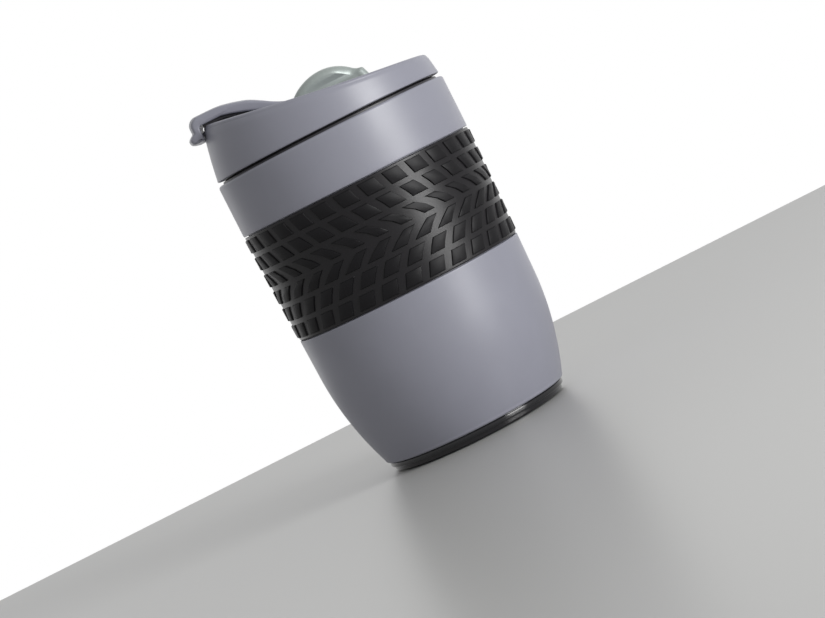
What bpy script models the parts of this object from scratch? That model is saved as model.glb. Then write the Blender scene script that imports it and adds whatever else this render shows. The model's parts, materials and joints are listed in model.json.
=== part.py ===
"""Double-walled travel mug: a turned cup in a tread-pattern grip sleeve, a screw lid with a sloped top,
a flip arm that plugs the spout, and a sprung thumb button that tips the arm open.

Metres, +Z up. The origin is the centre of the underside, on the cup's axis. The arm's hook points to -X.
"""

import math

import bmesh
import bpy
from mathutils import Vector
from mathutils.geometry import tessellate_polygon

MM = 0.001

# ---- fits -----------------------------------------------------------------------------------------
SEAT_GAP = 0.3 * MM        # between pieces that rest on or in each other
SIDE_GAP = 0.5 * MM        # between pieces that turn past each other
PIN_CLEARANCE = 0.22 * MM  # radial, between the hinge pin and its bores

# ---- cup ------------------------------------------------------------------------------------------
FOOT_PROUD = 0.4 * MM      # the foot pad stands below the base cap
BASE_HEIGHT = 3.8 * MM     # underside to the lower edge of the shell
SHELL_TOP = 109.8 * MM
SHELL_RADIUS = 41.4 * MM   # the barrel's widest, near the rim
BARREL_TAPER = 0.028       # radius lost per unit of height below the straight top
STRAIGHT_TOP = 17.0 * MM   # length of the untapered stretch under the rim
HEEL_HEIGHT = 35.0 * MM    # height of the rounded heel above the shell's lower edge
HEEL_DROP = 6.35 * MM      # how far the heel pulls in at that edge
HEEL_ROUND = 0.9 * MM      # rounding of the edge itself
SHELL_WALL = 1.8 * MM
RIM_ROUND = 0.9 * MM

LINER_STEP = 4.2 * MM      # from the barrel's outside to the liner's outside
LINER_WALL = 1.6 * MM
LINER_FLOOR = 9.6 * MM     # underside of the liner
LINER_CORNER = 7.0 * MM
LINER_BLEND = 6.0 * MM     # height over which the corner runs into the wall
NECK_BLEND = 4.0 * MM      # height over which the wall thickens into the neck
NECK_HEIGHT = 15.0 * MM    # depth of the thickened neck that takes the lid's thread
NECK_PROUD = 0.8 * MM      # the neck stands above the shell
NECK_WALL = 2.6 * MM
LIP_CHAMFER = 0.4 * MM

SLEEVE_DROP = 18.5 * MM    # shell top to the top of the sleeve
SLEEVE_HEIGHT = 39.2 * MM
SLEEVE_THICKNESS = 1.6 * MM
SLEEVE_PROUD = 0.5 * MM    # tread tops above the barrel
TREAD_DEPTH = 0.6 * MM
TREAD_DRAFT = 0.22 * MM
TREAD_BLOCKS = 32
TREAD_BLOCK_SHARE = 0.72   # of the pitch round the sleeve
SLEEVE_LIP = 0.35 * MM
TREAD_BORDER = 0.9 * MM    # plain band above the first row and below the last
TREAD_GAP = 1.6 * MM       # plain band between rows
# for each row, from the top: shift of its top edge and of its bottom edge, as shares of the pitch
TREAD_ROWS = ((0.12, 0.42), (0.55, 0.95), (0.21, 0.88), (0.72, 0.21), (0.79, 0.52), (0.28, 0.12))

BASE_LIP = 0.7 * MM        # the shell's lower edge stands out past the base ring
BASE_STEP = 1.0 * MM       # each of the base ring's two steps
BASE_WALL = 1.8 * MM
BASE_COLLAR = 5.0 * MM     # the snap collar inside the shell
FOOT_RADIUS = 26.0 * MM
FOOT_THICKNESS = 1.2 * MM

# ---- lid ------------------------------------------------------------------------------------------
LID_GAP = 1.35 * MM        # open line between cup and lid
LID_INSET = 0.9 * MM       # the lid is that much smaller in radius than the cup
SKIRT_DRAFT = 0.13         # radius lost per unit of height at the skirt's lower edge
SKIRT_CURVE = 3.9          # how the draft grows with height, per metre
DECK_RISE = 5.95 * MM      # skirt's lower edge to the deck, over the axis
DISH_DEPTH = 5.4 * MM      # deck to the rim, over the axis
DISH_TILT = 0.03           # how much less steeply the deck falls than the rim
LID_SLOPE = -0.150         # rise of the rim per unit of X at the axis
LID_SAG = 1.2              # how that slope changes, per metre
LID_WALL = 2.0 * MM
LID_EDGE_ROUND = 1.1 * MM
DECK_WALL = 1.7 * MM
SPOUT_SHARE = 0.642        # the spout's distance from the axis as a share of the lid's radius
SPOUT_RADIUS = 5.6 * MM
VENT_STEP = 11.5 * MM      # from the spout towards the hinge
VENT_RADIUS = 1.4 * MM
NUB_PROUD = 0.35 * MM
NUB_RADIUS = 0.8 * MM
NUB_BELOW_RIM = 2.3 * MM
NUB_WIDTH = 9.0 * MM

PLUG_CLEARANCE = 2.0 * MM  # liner neck to plug, where the threads and the seal go
PLUG_WALL = 1.8 * MM
PLUG_DEPTH = 13.0 * MM     # flange to the plug's underside
PLUG_FLANGE = 1.0 * MM
FLOW_HOLE_STEP = 6.0 * MM  # from the spout towards the hinge
FLOW_HOLE_RADIUS = 5.0 * MM
AIR_HOLE_X = 22.0 * MM
AIR_HOLE_RADIUS = 1.6 * MM
SEAL_HEIGHT = 2.6 * MM
SEAL_RIB = 0.5 * MM        # half the height of each of its two ribs

# ---- hinge, arm and button ------------------------------------------------------------------------
PIN_X = 7.0 * MM
PIN_RADIUS = 1.2 * MM
KNUCKLE_RADIUS = 2.4 * MM
LUG_THICKNESS = 2.4 * MM
LUG_FLARE = 1.2 * MM       # each side, at the foot of the lug
PRONG_THICKNESS = 3.4 * MM

ARM_RISE = 4.3 * MM        # flat top of the arm above the rim's highest point
ARM_THICKNESS = 3.3 * MM
ARM_WEB_STEP = 16.6 * MM   # pin to where the arm parts into its two prongs
ARM_TIP_SHARE = 0.86       # width at the hook as a share of the width at the hinge
ARM_ROUND = 0.9 * MM
ARM_CROWN = 1.0 * MM
# the back and the belly of the arm, as shares of the way from the pin to the end of the flat top
ARM_BACK = ((0.09, 0.17), (0.21, 0.23), (0.33, 0.31), (0.46, 0.42), (0.55, 0.53), (0.65, 0.68),
            (0.75, 0.81), (0.85, 0.89), (0.95, 0.95), (1.06, 0.99))
ARM_BELLY = ((0.95, 0.72), (0.84, 0.63), (0.74, 0.53), (0.60, 0.37), (0.53, 0.29), (0.45, 0.22),
             (0.29, 0.11), (0.14, -0.04))
TAB_GAP = 0.3 * MM         # snap bead to the tab's inner face
TAB_THICKNESS = 2.4 * MM
TAB_LIP = 2.0 * MM         # the lip's reach past the tab's waist
TAB_DROP = 8.5 * MM        # arm top to the tab's lower end
TAB_ROUND = 3.2 * MM       # shoulder between the flat top and the tab
UNDERPLATE_THICKNESS = 1.1 * MM
UNDERPLATE_REACH = 9.0 * MM  # past the spout, towards the hook
UNDERPLATE_MARGIN = 2.2 * MM
STOPPER_DIP = 1.6 * MM     # how far a stopper reaches into its hole
STOPPER_GAP = 0.45 * MM    # radial, between a stopper and its hole
STOPPER_FLARE = 0.9 * MM   # the collar stands out past the hole
SPOUT_STEM = 3.0 * MM      # radii of the stoppers' stems
VENT_STEM = 0.8 * MM

BUTTON_HALF_WIDTH = 7.6 * MM
BUTTON_RADIUS = 15.0 * MM  # of the hump's arc, from its peak to the ledge
BUTTON_BACK_RADIUS = 17.8 * MM  # and from its peak towards the arm
BUTTON_X = 5.7 * MM
BUTTON_RISE = 10.0 * MM    # pin to the hump's peak
BUTTON_ROUND = 3.4 * MM
BUTTON_SKIN = 1.1 * MM
BUTTON_NOSE = 15.0 * MM    # pin to the hump's end under the arm
BUTTON_HEEL = 14.0 * MM    # pin to the heel below the ledge
LEDGE_FOOT_RISE = 5.9 * MM  # pin to the top of the ledge, where it leaves the hump
LEDGE_RISE = 5.0 * MM      # and at its outer end
LEDGE_BACK = 2.5 * MM      # heel to the outer end of the ledge
BUTTON_DROP = 0.7 * MM     # pin to the button's lower edge
NOSE_NARROW = 0.2          # how much narrower the hump is at its nose
WAIST_DEPTH = 0.25         # how much it is drawn in before the ledge
WAIST_STEP = 7.8 * MM      # pin to the waist
WAIST_LENGTH = 3.4 * MM
TOE_REACH = 18.3 * MM      # pin to the tip of the toe under the arm
TOE_RISE = 1.25 * MM
TOE_THICKNESS = 1.3 * MM
TOE_HALF_WIDTH = 4.0 * MM
SPRING_WIRE = 0.35 * MM    # radius
SPRING_TURNS = 4
SPRING_PITCH = 1.0 * MM
SPRING_LEG = 6.5 * MM      # pin to the end of either leg
SPRING_LEG_RISE = 1.6 * MM  # room for the upper leg above the coils
CUT_PAST = 3.0 * MM        # how far a cutter runs out of what it cuts

# ---- facets ---------------------------------------------------------------------------------------
ROUND_SEGMENTS = 64
HIDDEN_SEGMENTS = 48       # of pieces inside the cup
SMALL_SEGMENTS = 20
SMOOTH_ANGLE = math.radians(32)

# ---- derived sizes --------------------------------------------------------------------------------
LID_BOTTOM = SHELL_TOP + LID_GAP
LID_RADIUS = SHELL_RADIUS - LID_INSET
LID_MID_HEIGHT = LID_BOTTOM + DECK_RISE + DISH_DEPTH


def rim_height(x):
    """Top of the lid's rim: it falls from the hook's side to the other in a shallow curve."""
    return LID_MID_HEIGHT + LID_SLOPE * x + LID_SAG * x * x


def deck_height(x):
    """Top of the deck inside the rim."""
    return rim_height(x) - DISH_DEPTH + DISH_TILT * x


def skirt_radius(height):
    """Outside radius of the lid's skirt, which leans in a little more the higher it is."""
    rise = height - LID_BOTTOM
    return LID_RADIUS - SKIRT_DRAFT * rise - SKIRT_CURVE * rise * rise


def rim_radius(angle):
    """Outside radius of the lid at its rim, in the direction of the angle."""
    radius = LID_RADIUS
    for _ in range(8):
        radius = skirt_radius(rim_height(radius * math.cos(angle)))
    return radius


SPOUT_X = -SPOUT_SHARE * LID_RADIUS
VENT_X = SPOUT_X + VENT_STEP
FLOW_HOLE_X = SPOUT_X + FLOW_HOLE_STEP
PIN_Z = deck_height(PIN_X) + KNUCKLE_RADIUS + SEAT_GAP
NECK_TOP = SHELL_TOP + NECK_PROUD
SLEEVE_TOP = SHELL_TOP - SLEEVE_DROP
SLEEVE_BOTTOM = SLEEVE_TOP - SLEEVE_HEIGHT
NECK_RADIUS = SHELL_RADIUS - SHELL_WALL - 2 * SEAT_GAP
NECK_BORE = NECK_RADIUS - NECK_WALL
PLUG_RADIUS = NECK_BORE - PLUG_CLEARANCE
PLUG_TOP = NECK_TOP + SEAT_GAP + PLUG_FLANGE
PLUG_BOTTOM = PLUG_TOP - PLUG_DEPTH - PLUG_FLANGE
PRONG_INSIDE = BUTTON_HALF_WIDTH + SIDE_GAP
ARM_HALF_WIDTH = PRONG_INSIDE + PRONG_THICKNESS
LUG_INSIDE = ARM_HALF_WIDTH + SIDE_GAP
LUG_OUTSIDE = LUG_INSIDE + LUG_THICKNESS
ARM_TOP = rim_height(-rim_radius(math.pi)) + ARM_RISE
ARM_FLAT_END = SPOUT_X - 2.0 * MM
ARM_WEB_END = PIN_X - ARM_WEB_STEP
UNDERPLATE_START = SPOUT_X - UNDERPLATE_REACH
BUTTON_PEAK = PIN_Z + BUTTON_RISE
BUTTON_FLOOR = PIN_Z - BUTTON_DROP
NOSE_X = PIN_X - BUTTON_NOSE
HEEL_X = PIN_X + BUTTON_HEEL
TOE_X = PIN_X - TOE_REACH
TOE_TOP = PIN_Z + TOE_RISE


# ---- helpers --------------------------------------------------------------------------------------

def clear_scene():
    for old in list(bpy.data.objects):
        bpy.data.objects.remove(old, do_unlink=True)


def make_material(name, color, roughness, metallic=0.0):
    material = bpy.data.materials.new(name)
    material.use_nodes = True
    shader = material.node_tree.nodes["Principled BSDF"]
    shader.inputs["Base Color"].default_value = (*color, 1.0)
    shader.inputs["Roughness"].default_value = roughness
    shader.inputs["Metallic"].default_value = metallic
    material.diffuse_color = (*color, 1.0)
    return material


def finish_mesh(bm, name, material, origin=(0.0, 0.0, 0.0)):
    """Turn a bmesh into a named object whose origin sits at the given point."""
    bmesh.ops.recalc_face_normals(bm, faces=bm.faces)
    bmesh.ops.translate(bm, verts=bm.verts, vec=[-value for value in origin])
    mesh = bpy.data.meshes.new(name)
    bm.to_mesh(mesh)
    bm.free()
    mesh.shade_smooth()
    mesh.set_sharp_from_angle(angle=SMOOTH_ANGLE)
    if material:
        mesh.materials.append(material)
    obj = bpy.data.objects.new(name, mesh)
    obj.location = origin
    bpy.context.scene.collection.objects.link(obj)
    return obj


def arc(center, radius, start_deg, end_deg, steps):
    """Points of an arc in a plane, from start to end inclusive."""
    points = []
    for index in range(steps + 1):
        angle = math.radians(start_deg + (end_deg - start_deg) * index / steps)
        points.append((center[0] + radius * math.cos(angle), center[1] + radius * math.sin(angle)))
    return points


def smooth_path(points, steps):
    """A Catmull-Rom curve through the points, with the same number of steps between each pair."""
    padded = [points[0], *points, points[-1]]
    path = []
    for before, start, end, after in zip(padded, padded[1:], padded[2:], padded[3:]):
        for index in range(steps):
            t = index / steps
            path.append(tuple(
                0.5 * (2 * b + (c - a) * t + (2 * a - 5 * b + 4 * c - d) * t * t
                       + (3 * b - a - 3 * c + d) * t ** 3)
                for a, b, c, d in zip(before, start, end, after)))
    path.append(points[-1])
    return path


def bridge_rings(bm, lower, upper):
    count = len(lower)
    for index in range(count):
        after = (index + 1) % count
        bm.faces.new((lower[index], lower[after], upper[after], upper[index]))


def turned(name, profile, material, segments=ROUND_SEGMENTS):
    """A closed ring or solid of revolution about Z. A profile point on the axis becomes a pole."""
    bm = bmesh.new()
    rings = []
    for radius, height in profile:
        if radius < 1e-7:
            rings.append([bm.verts.new((0.0, 0.0, height))])
            continue
        ring = []
        for index in range(segments):
            angle = 2 * math.pi * index / segments
            ring.append(bm.verts.new((radius * math.cos(angle), radius * math.sin(angle), height)))
        rings.append(ring)
    for first, second in zip(rings, rings[1:] + rings[:1]):
        if len(first) == 1 and len(second) == 1:
            continue
        if len(first) == 1 or len(second) == 1:
            pole, ring = (first[0], second) if len(first) == 1 else (second[0], first)
            for index in range(segments):
                bm.faces.new((pole, ring[index], ring[(index + 1) % segments]))
        else:
            bridge_rings(bm, first, second)
    return finish_mesh(bm, name, material)


def inset_outline(outline, distance):
    """Move each point of a closed outline inwards, along the mean normal of its two edges."""
    area = sum(a[0] * b[1] - b[0] * a[1] for a, b in zip(outline, outline[1:] + outline[:1]))
    turn = 1.0 if area > 0 else -1.0
    moved = []
    for before, here, after in zip(outline[-1:] + outline[:-1], outline, outline[1:] + outline[:1]):
        edge_in = (here[0] - before[0], here[1] - before[1])
        edge_out = (after[0] - here[0], after[1] - here[1])
        length_in = math.hypot(*edge_in)
        length_out = math.hypot(*edge_out)
        normal = (-turn * (edge_in[1] / length_in + edge_out[1] / length_out),
                  turn * (edge_in[0] / length_in + edge_out[0] / length_out))
        size = math.hypot(*normal)
        reach = distance / max(size / 2, 0.6)
        moved.append((here[0] + normal[0] / size * reach, here[1] + normal[1] / size * reach))
    return moved


def slab(name, outline, half_width, material, edge_round=0.0, shape=None, stations=3,
         origin=(0.0, 0.0, 0.0), narrow=inset_outline):
    """Extrude an outline in the XZ plane across Y, with rounded edges.

    shape(x, y, z) bends the result; narrow(outline, distance) draws the outline in towards the two sides.
    """
    round_steps = 3 if edge_round else 0
    sections = []
    for step in range(round_steps):
        angle = math.pi / 2 * step / round_steps
        sections.append((half_width - edge_round * (1 - math.cos(angle)),
                         edge_round * (1 - math.sin(angle))))
    flat = half_width - edge_round
    for step in range(stations):
        sections.append((flat * (1 - 2 * step / (stations - 1)), 0.0))
    sections += [(-y, inset) for y, inset in reversed(sections[:round_steps])]
    side = narrow(outline, edge_round) if edge_round else outline
    side_triangles = tessellate_polygon([[Vector((x, z, 0.0)) for x, z in side]])
    bm = bmesh.new()
    rings = []
    for y, inset in sections:
        points = narrow(outline, inset) if inset else outline
        placed = [(x, y, z) for x, z in points]
        if shape:
            placed = [shape(*point) for point in placed]
        rings.append([bm.verts.new(point) for point in placed])
    for first, second in zip(rings, rings[1:]):
        bridge_rings(bm, first, second)
    for ring in (rings[0], rings[-1]):
        for corners in side_triangles:
            bm.faces.new([ring[corner] for corner in corners])
    return finish_mesh(bm, name, material, origin)


def rod(name, start, end, radius, material, segments=SMALL_SEGMENTS, origin=(0.0, 0.0, 0.0), end_round=0.0):
    """A straight round bar along Y or Z between two points, with its ends chamfered by end_round."""
    length = math.dist(start, end)
    along_y = abs(end[1] - start[1]) > abs(end[2] - start[2])
    bm = bmesh.new()
    stops = [(0.0, radius), (length, radius)]
    if end_round:
        stops = [(0.0, radius - end_round), (end_round, radius),
                 (length - end_round, radius), (length, radius - end_round)]
    rings = []
    for along, ring_radius in stops:
        ring = []
        for index in range(segments):
            angle = 2 * math.pi * index / segments
            first = ring_radius * math.cos(angle)
            second = ring_radius * math.sin(angle)
            offset = (first, along, second) if along_y else (first, second, along)
            ring.append(bm.verts.new([a + b for a, b in zip(start, offset)]))
        rings.append(ring)
    for first, second in zip(rings, rings[1:]):
        bridge_rings(bm, first, second)
    bm.faces.new(rings[0])
    bm.faces.new(rings[-1])
    return finish_mesh(bm, name, material, origin)


def block(name, low, high, material=None):
    bm = bmesh.new()
    bmesh.ops.create_cube(bm, size=1.0)
    for vert in bm.verts:
        for axis in range(3):
            vert.co[axis] = high[axis] if vert.co[axis] > 0 else low[axis]
    return finish_mesh(bm, name, material)


def combine(obj, other, operation, solver="EXACT"):
    """Cut a helper from an object, or weld it on, with a Boolean."""
    other.hide_render = True
    other.display_type = "WIRE"
    modifier = obj.modifiers.new(other.name, "BOOLEAN")
    modifier.operation = operation
    modifier.solver = solver
    modifier.object = other


def mix(start, end, share):
    return start + (end - start) * share


def ease(value, start, end):
    """0 before start, 1 after end, smooth between."""
    share = min(1.0, max(0.0, (value - start) / (end - start)))
    return share * share * (3 - 2 * share)


# ---- cup ------------------------------------------------------------------------------------------

def barrel_radius(height):
    """Outside radius of the barrel: a slight taper, and a parabola for the heel."""
    below_top = max(0.0, SHELL_TOP - STRAIGHT_TOP - height)
    heel = max(0.0, 1 - (height - BASE_HEIGHT) / HEEL_HEIGHT)
    return SHELL_RADIUS - BARREL_TAPER * below_top - HEEL_DROP * heel ** 2


def seat_radius(height):
    """Radius of the sleeve's recess: a straight cone between the barrel's radii at the sleeve's two ends."""
    low, high = barrel_radius(SLEEVE_BOTTOM), barrel_radius(SLEEVE_TOP)
    cone = low + (high - low) * (height - SLEEVE_BOTTOM) / SLEEVE_HEIGHT
    return cone + SLEEVE_PROUD - SLEEVE_THICKNESS - SEAT_GAP


def heights(low, high, steps):
    return [mix(low, high, index / steps) for index in range(steps + 1)]


def build_outer_shell(material):
    recess_low = SLEEVE_BOTTOM - SEAT_GAP
    recess_high = SLEEVE_TOP + SEAT_GAP
    # the heel may be taller than what is left of the barrel below the sleeve
    heel_top = min(BASE_HEIGHT + HEEL_HEIGHT, recess_low - SLEEVE_LIP)
    edge = (barrel_radius(BASE_HEIGHT + HEEL_ROUND) - HEEL_ROUND, BASE_HEIGHT + HEEL_ROUND)
    outside = arc(edge, HEEL_ROUND, -90, 0, 3)
    outside += [(barrel_radius(z), z) for z in heights(BASE_HEIGHT + 3 * MM, heel_top, 8)]
    outside.append((barrel_radius(recess_low), recess_low))
    outside += [(seat_radius(z), z) for z in heights(recess_low, recess_high, 3)]
    outside += [(barrel_radius(recess_high), recess_high), (SHELL_RADIUS, SHELL_TOP - STRAIGHT_TOP / 2)]
    outside += arc((SHELL_RADIUS - RIM_ROUND, SHELL_TOP - RIM_ROUND), RIM_ROUND, 0, 90, 3)
    inside = [(SHELL_RADIUS - SHELL_WALL, SHELL_TOP), (SHELL_RADIUS - SHELL_WALL, SLEEVE_TOP + SHELL_WALL)]
    inside += [(seat_radius(z) - SHELL_WALL, z) for z in heights(SLEEVE_TOP, SLEEVE_BOTTOM, 2)]
    inside += [(barrel_radius(z) - SHELL_WALL, z) for z in heights(heel_top, BASE_HEIGHT, 7)]
    return turned("outer_shell", outside + inside, material)


def liner_outside(height):
    return barrel_radius(height) - LINER_STEP


def build_inner_liner(material):
    """The cup proper: a floor, a tapered wall, and a thick neck that the lid's plug screws into."""
    neck_low = NECK_TOP - NECK_HEIGHT
    corner_top = LINER_FLOOR + LINER_CORNER
    foot = liner_outside(corner_top) - LINER_CORNER
    outside = [(0.0, LINER_FLOOR), *arc((foot, corner_top), LINER_CORNER, -90, 0, 5)]
    wall = heights(corner_top + LINER_BLEND, neck_low - NECK_BLEND, 4)
    lip = NECK_TOP - LIP_CHAMFER
    outside += [(liner_outside(z), z) for z in wall]
    outside += [(NECK_RADIUS, neck_low), (NECK_RADIUS, lip), (NECK_RADIUS - LIP_CHAMFER, NECK_TOP)]
    inside = [(NECK_BORE + LIP_CHAMFER, NECK_TOP), (NECK_BORE, lip), (NECK_BORE, neck_low)]
    inside += [(liner_outside(z) - LINER_WALL, z) for z in reversed(wall)]
    inside += arc((foot, corner_top), LINER_CORNER - LINER_WALL, 0, -90, 5)
    inside.append((0.0, LINER_FLOOR + LINER_WALL))
    return turned("inner_liner", outside + inside, material, segments=HIDDEN_SEGMENTS)


def tread_rings(row):
    """Angles of one row's block edges, at its top and bottom edge, as (left, right) pairs."""
    pitch = 2 * math.pi / TREAD_BLOCKS
    edges = []
    for shift in TREAD_ROWS[row]:
        ring = []
        for index in range(TREAD_BLOCKS):
            left = (index + shift) * pitch
            ring += [left, left + TREAD_BLOCK_SHARE * pitch]
        edges.append(ring)
    return edges


def sleeve_ring(bm, angles, radius, height):
    # the tread pattern is laid out from the side that faces -Y
    return [bm.verts.new((radius * math.sin(angle), -radius * math.cos(angle), height)) for angle in angles]


def join_by_angle(bm, upper, upper_angles, lower, lower_angles):
    """Triangles between two rings of the same count whose points lie at different angles."""
    count = len(upper)
    first = min(range(count), key=lambda index: abs(lower_angles[index] - upper_angles[0]))
    i = j = 0
    while i < count or j < count:
        up_next = upper_angles[(i + 1) % count] + 2 * math.pi * ((i + 1) // count)
        k = first + j + 1
        low_next = lower_angles[k % count] + 2 * math.pi * (k // count)
        here_up = upper[i % count]
        here_low = lower[(first + j) % count]
        if j == count or (i < count and up_next <= low_next):
            bm.faces.new((here_up, upper[(i + 1) % count], here_low))
            i += 1
        else:
            bm.faces.new((here_up, lower[(first + j + 1) % count], here_low))
            j += 1


def build_grip_sleeve(material):
    """Moulded silicone sleeve: six rows of slanted blocks that together read as chevrons."""
    rows = len(TREAD_ROWS)
    row_height = (SLEEVE_HEIGHT - 2 * TREAD_BORDER - (rows - 1) * TREAD_GAP) / rows
    bm = bmesh.new()

    def tread_top(height):
        return barrel_radius(height) + SLEEVE_PROUD

    def groove_floor(height):
        return tread_top(height) - TREAD_DEPTH

    bands = []
    for row in range(rows):
        high = SLEEVE_TOP - TREAD_BORDER - row * (row_height + TREAD_GAP)
        low = high - row_height
        top_angles, bottom_angles = tread_rings(row)
        top_ring = sleeve_ring(bm, top_angles, groove_floor(high), high)
        bottom_ring = sleeve_ring(bm, bottom_angles, groove_floor(low), low)
        bands.append((top_ring, top_angles, bottom_ring, bottom_angles))
        draft_angle = TREAD_DRAFT / tread_top(high)
        for left in range(0, 2 * TREAD_BLOCKS, 2):
            right = left + 1
            after = (left + 2) % (2 * TREAD_BLOCKS)
            corners = [(top_angles[left] + draft_angle, high - TREAD_DRAFT),
                       (top_angles[right] - draft_angle, high - TREAD_DRAFT),
                       (bottom_angles[right] - draft_angle, low + TREAD_DRAFT),
                       (bottom_angles[left] + draft_angle, low + TREAD_DRAFT)]
            crown = [sleeve_ring(bm, [angle], tread_top(z), z)[0] for angle, z in corners]
            foot = [top_ring[left], top_ring[right], bottom_ring[right], bottom_ring[left]]
            bridge_rings(bm, foot, crown)
            bm.faces.new(crown)
            bm.faces.new((top_ring[right], top_ring[after], bottom_ring[after], bottom_ring[right]))
    for above, below in zip(bands, bands[1:]):
        join_by_angle(bm, above[2], above[3], below[0], below[1])
    ends = ((bands[0][0], bands[0][1], SLEEVE_TOP, 1), (bands[-1][2], bands[-1][3], SLEEVE_BOTTOM, -1))
    for ring, angles, border, up in ends:
        outer = sleeve_ring(bm, angles, groove_floor(border), border - up * SLEEVE_LIP)
        lip = sleeve_ring(bm, angles, groove_floor(border) - SLEEVE_LIP, border)
        inner = sleeve_ring(bm, angles, seat_radius(border) + SEAT_GAP, border)
        bridge_rings(bm, ring, outer)
        bridge_rings(bm, outer, lip)
        bridge_rings(bm, lip, inner)
        bands.append((inner, angles))
    join_by_angle(bm, bands[-2][0], bands[-2][1], bands[-1][0], bands[-1][1])
    return finish_mesh(bm, "grip_sleeve", material)


def build_base_cap(material):
    """Glossy snap-in bottom: two stepped ridges outside, a collar up inside the shell, a seat for the pad."""
    edge = barrel_radius(BASE_HEIGHT) - BASE_LIP
    collar = barrel_radius(BASE_HEIGHT) - SHELL_WALL - SEAT_GAP
    under = FOOT_PROUD
    seat = under + FOOT_THICKNESS - FOOT_PROUD + SEAT_GAP
    shoulder = BASE_HEIGHT - SEAT_GAP
    middle = mix(under, shoulder, 0.5)
    profile = [(0.0, seat), (FOOT_RADIUS + SEAT_GAP, seat), (FOOT_RADIUS + SEAT_GAP, under),
               (edge - BASE_STEP - 0.5 * MM, under), (edge - BASE_STEP, under + 0.5 * MM),
               (edge - BASE_STEP, middle - 0.1 * MM), (edge - 0.4 * MM, middle),
               (edge, middle + 0.4 * MM), (edge, shoulder), (collar, shoulder),
               (collar, shoulder + BASE_COLLAR), (collar - BASE_WALL, shoulder + BASE_COLLAR),
               (collar - BASE_WALL, seat + BASE_WALL), (0.0, seat + BASE_WALL)]
    return turned("base_cap", profile, material)


def build_foot_pad(material):
    profile = [(0.0, 0.0), (FOOT_RADIUS - 0.3 * MM, 0.0), (FOOT_RADIUS, 0.3 * MM),
               (FOOT_RADIUS, FOOT_THICKNESS), (0.0, FOOT_THICKNESS)]
    return turned("foot_pad", profile, material, segments=48)


# ---- lid ------------------------------------------------------------------------------------------

def lid_section(angle):
    """(radius, height) points of the lid cover's wall, from its lower edge over the rim to its inside."""
    cosine = math.cos(angle)
    outer = rim_radius(angle)
    crest = rim_height(outer * cosine)
    points = [(LID_RADIUS - 0.5 * MM, LID_BOTTOM), (LID_RADIUS, LID_BOTTOM + 0.5 * MM)]
    middle = mix(LID_BOTTOM, crest, 0.5)
    points.append((skirt_radius(middle), middle))
    round_center = (outer - LID_EDGE_ROUND, crest - LID_EDGE_ROUND)
    points += arc(round_center, LID_EDGE_ROUND, 0, 90, 4)
    inner = outer - LID_WALL - 0.4 * MM
    points.append((inner, rim_height(inner * cosine)))
    points.append((inner - 0.3 * MM, rim_height(inner * cosine) - 0.4 * MM))
    wall = inner - 1.0 * MM
    corner = 1.0 * MM
    points.append((wall + 0.3 * MM, deck_height(wall * cosine) + corner))
    points.append((wall - corner, deck_height((wall - corner) * cosine)))
    deck = [(wall * share, deck_height(wall * share * cosine)) for share in (0.75, 0.5, 0.25)]
    points += deck
    underside = [(radius, height - DECK_WALL) for radius, height in reversed(deck)]
    hollow = outer - LID_WALL
    underside.append((hollow - 0.8 * MM, deck_height(hollow * cosine) - DECK_WALL))
    underside.append((LID_RADIUS - LID_WALL, PLUG_TOP + SEAT_GAP))
    underside.append((LID_RADIUS - LID_WALL, LID_BOTTOM))
    return points, underside


def build_lid_cover(material):
    """The lid's outer shell: a tapering skirt, a sloped rim, and a dished deck with the hinge lugs on it."""
    bm = bmesh.new()
    sections = []
    for index in range(ROUND_SEGMENTS):
        angle = 2 * math.pi * index / ROUND_SEGMENTS
        top, under = lid_section(angle)
        sections.append([[bm.verts.new((r * math.cos(angle), r * math.sin(angle), z)) for r, z in part]
                         for part in (top, under)])
    top_pole = bm.verts.new((0.0, 0.0, deck_height(0.0)))
    under_pole = bm.verts.new((0.0, 0.0, deck_height(0.0) - DECK_WALL))
    for (top, under), (next_top, next_under) in zip(sections, sections[1:] + sections[:1]):
        for side, next_side in ((top, next_top), (under, next_under)):
            for lower, upper, next_upper, next_lower in zip(side, side[1:], next_side[1:], next_side):
                bm.faces.new((lower, next_lower, next_upper, upper))
        bm.faces.new((top[-1], next_top[-1], top_pole))
        bm.faces.new((under[0], next_under[0], under_pole))
        bm.faces.new((top[0], next_top[0], next_under[-1], under[-1]))
    cover = finish_mesh(bm, "lid_cover", material)
    for side in (-1, 1):
        combine(cover, hinge_lug(side), "UNION", solver="MANIFOLD")
    combine(cover, snap_nub(), "UNION", solver="MANIFOLD")
    low, high = deck_height(VENT_X) - DECK_WALL - CUT_PAST, deck_height(SPOUT_X) + CUT_PAST
    for cutter_name, x, radius in (("spout_cutter", SPOUT_X, SPOUT_RADIUS),
                                   ("vent_cutter", VENT_X, VENT_RADIUS)):
        cutter = rod(cutter_name, (x, 0.0, low), (x, 0.0, high), radius, None)
        combine(cover, cutter, "DIFFERENCE", solver="MANIFOLD")
    combine(cover, pin_cutter("lug_bore_cutter", LUG_OUTSIDE + CUT_PAST), "DIFFERENCE", solver="MANIFOLD")
    return cover


def hinge_lug(side):
    """An upright ear on the deck that carries one end of the hinge pin."""
    foot = deck_height(PIN_X) - DECK_WALL / 2
    outline = arc((PIN_X, PIN_Z), KNUCKLE_RADIUS, 180, 0, 8)
    spread = KNUCKLE_RADIUS + LUG_FLARE
    outline += [(PIN_X + spread, foot), (PIN_X - spread, foot)]
    lug = slab("hinge_lug_near" if side < 0 else "hinge_lug_far", outline, LUG_THICKNESS / 2, None)
    middle = side * (LUG_INSIDE + LUG_OUTSIDE) / 2
    lug.location.y = middle
    return lug


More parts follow.
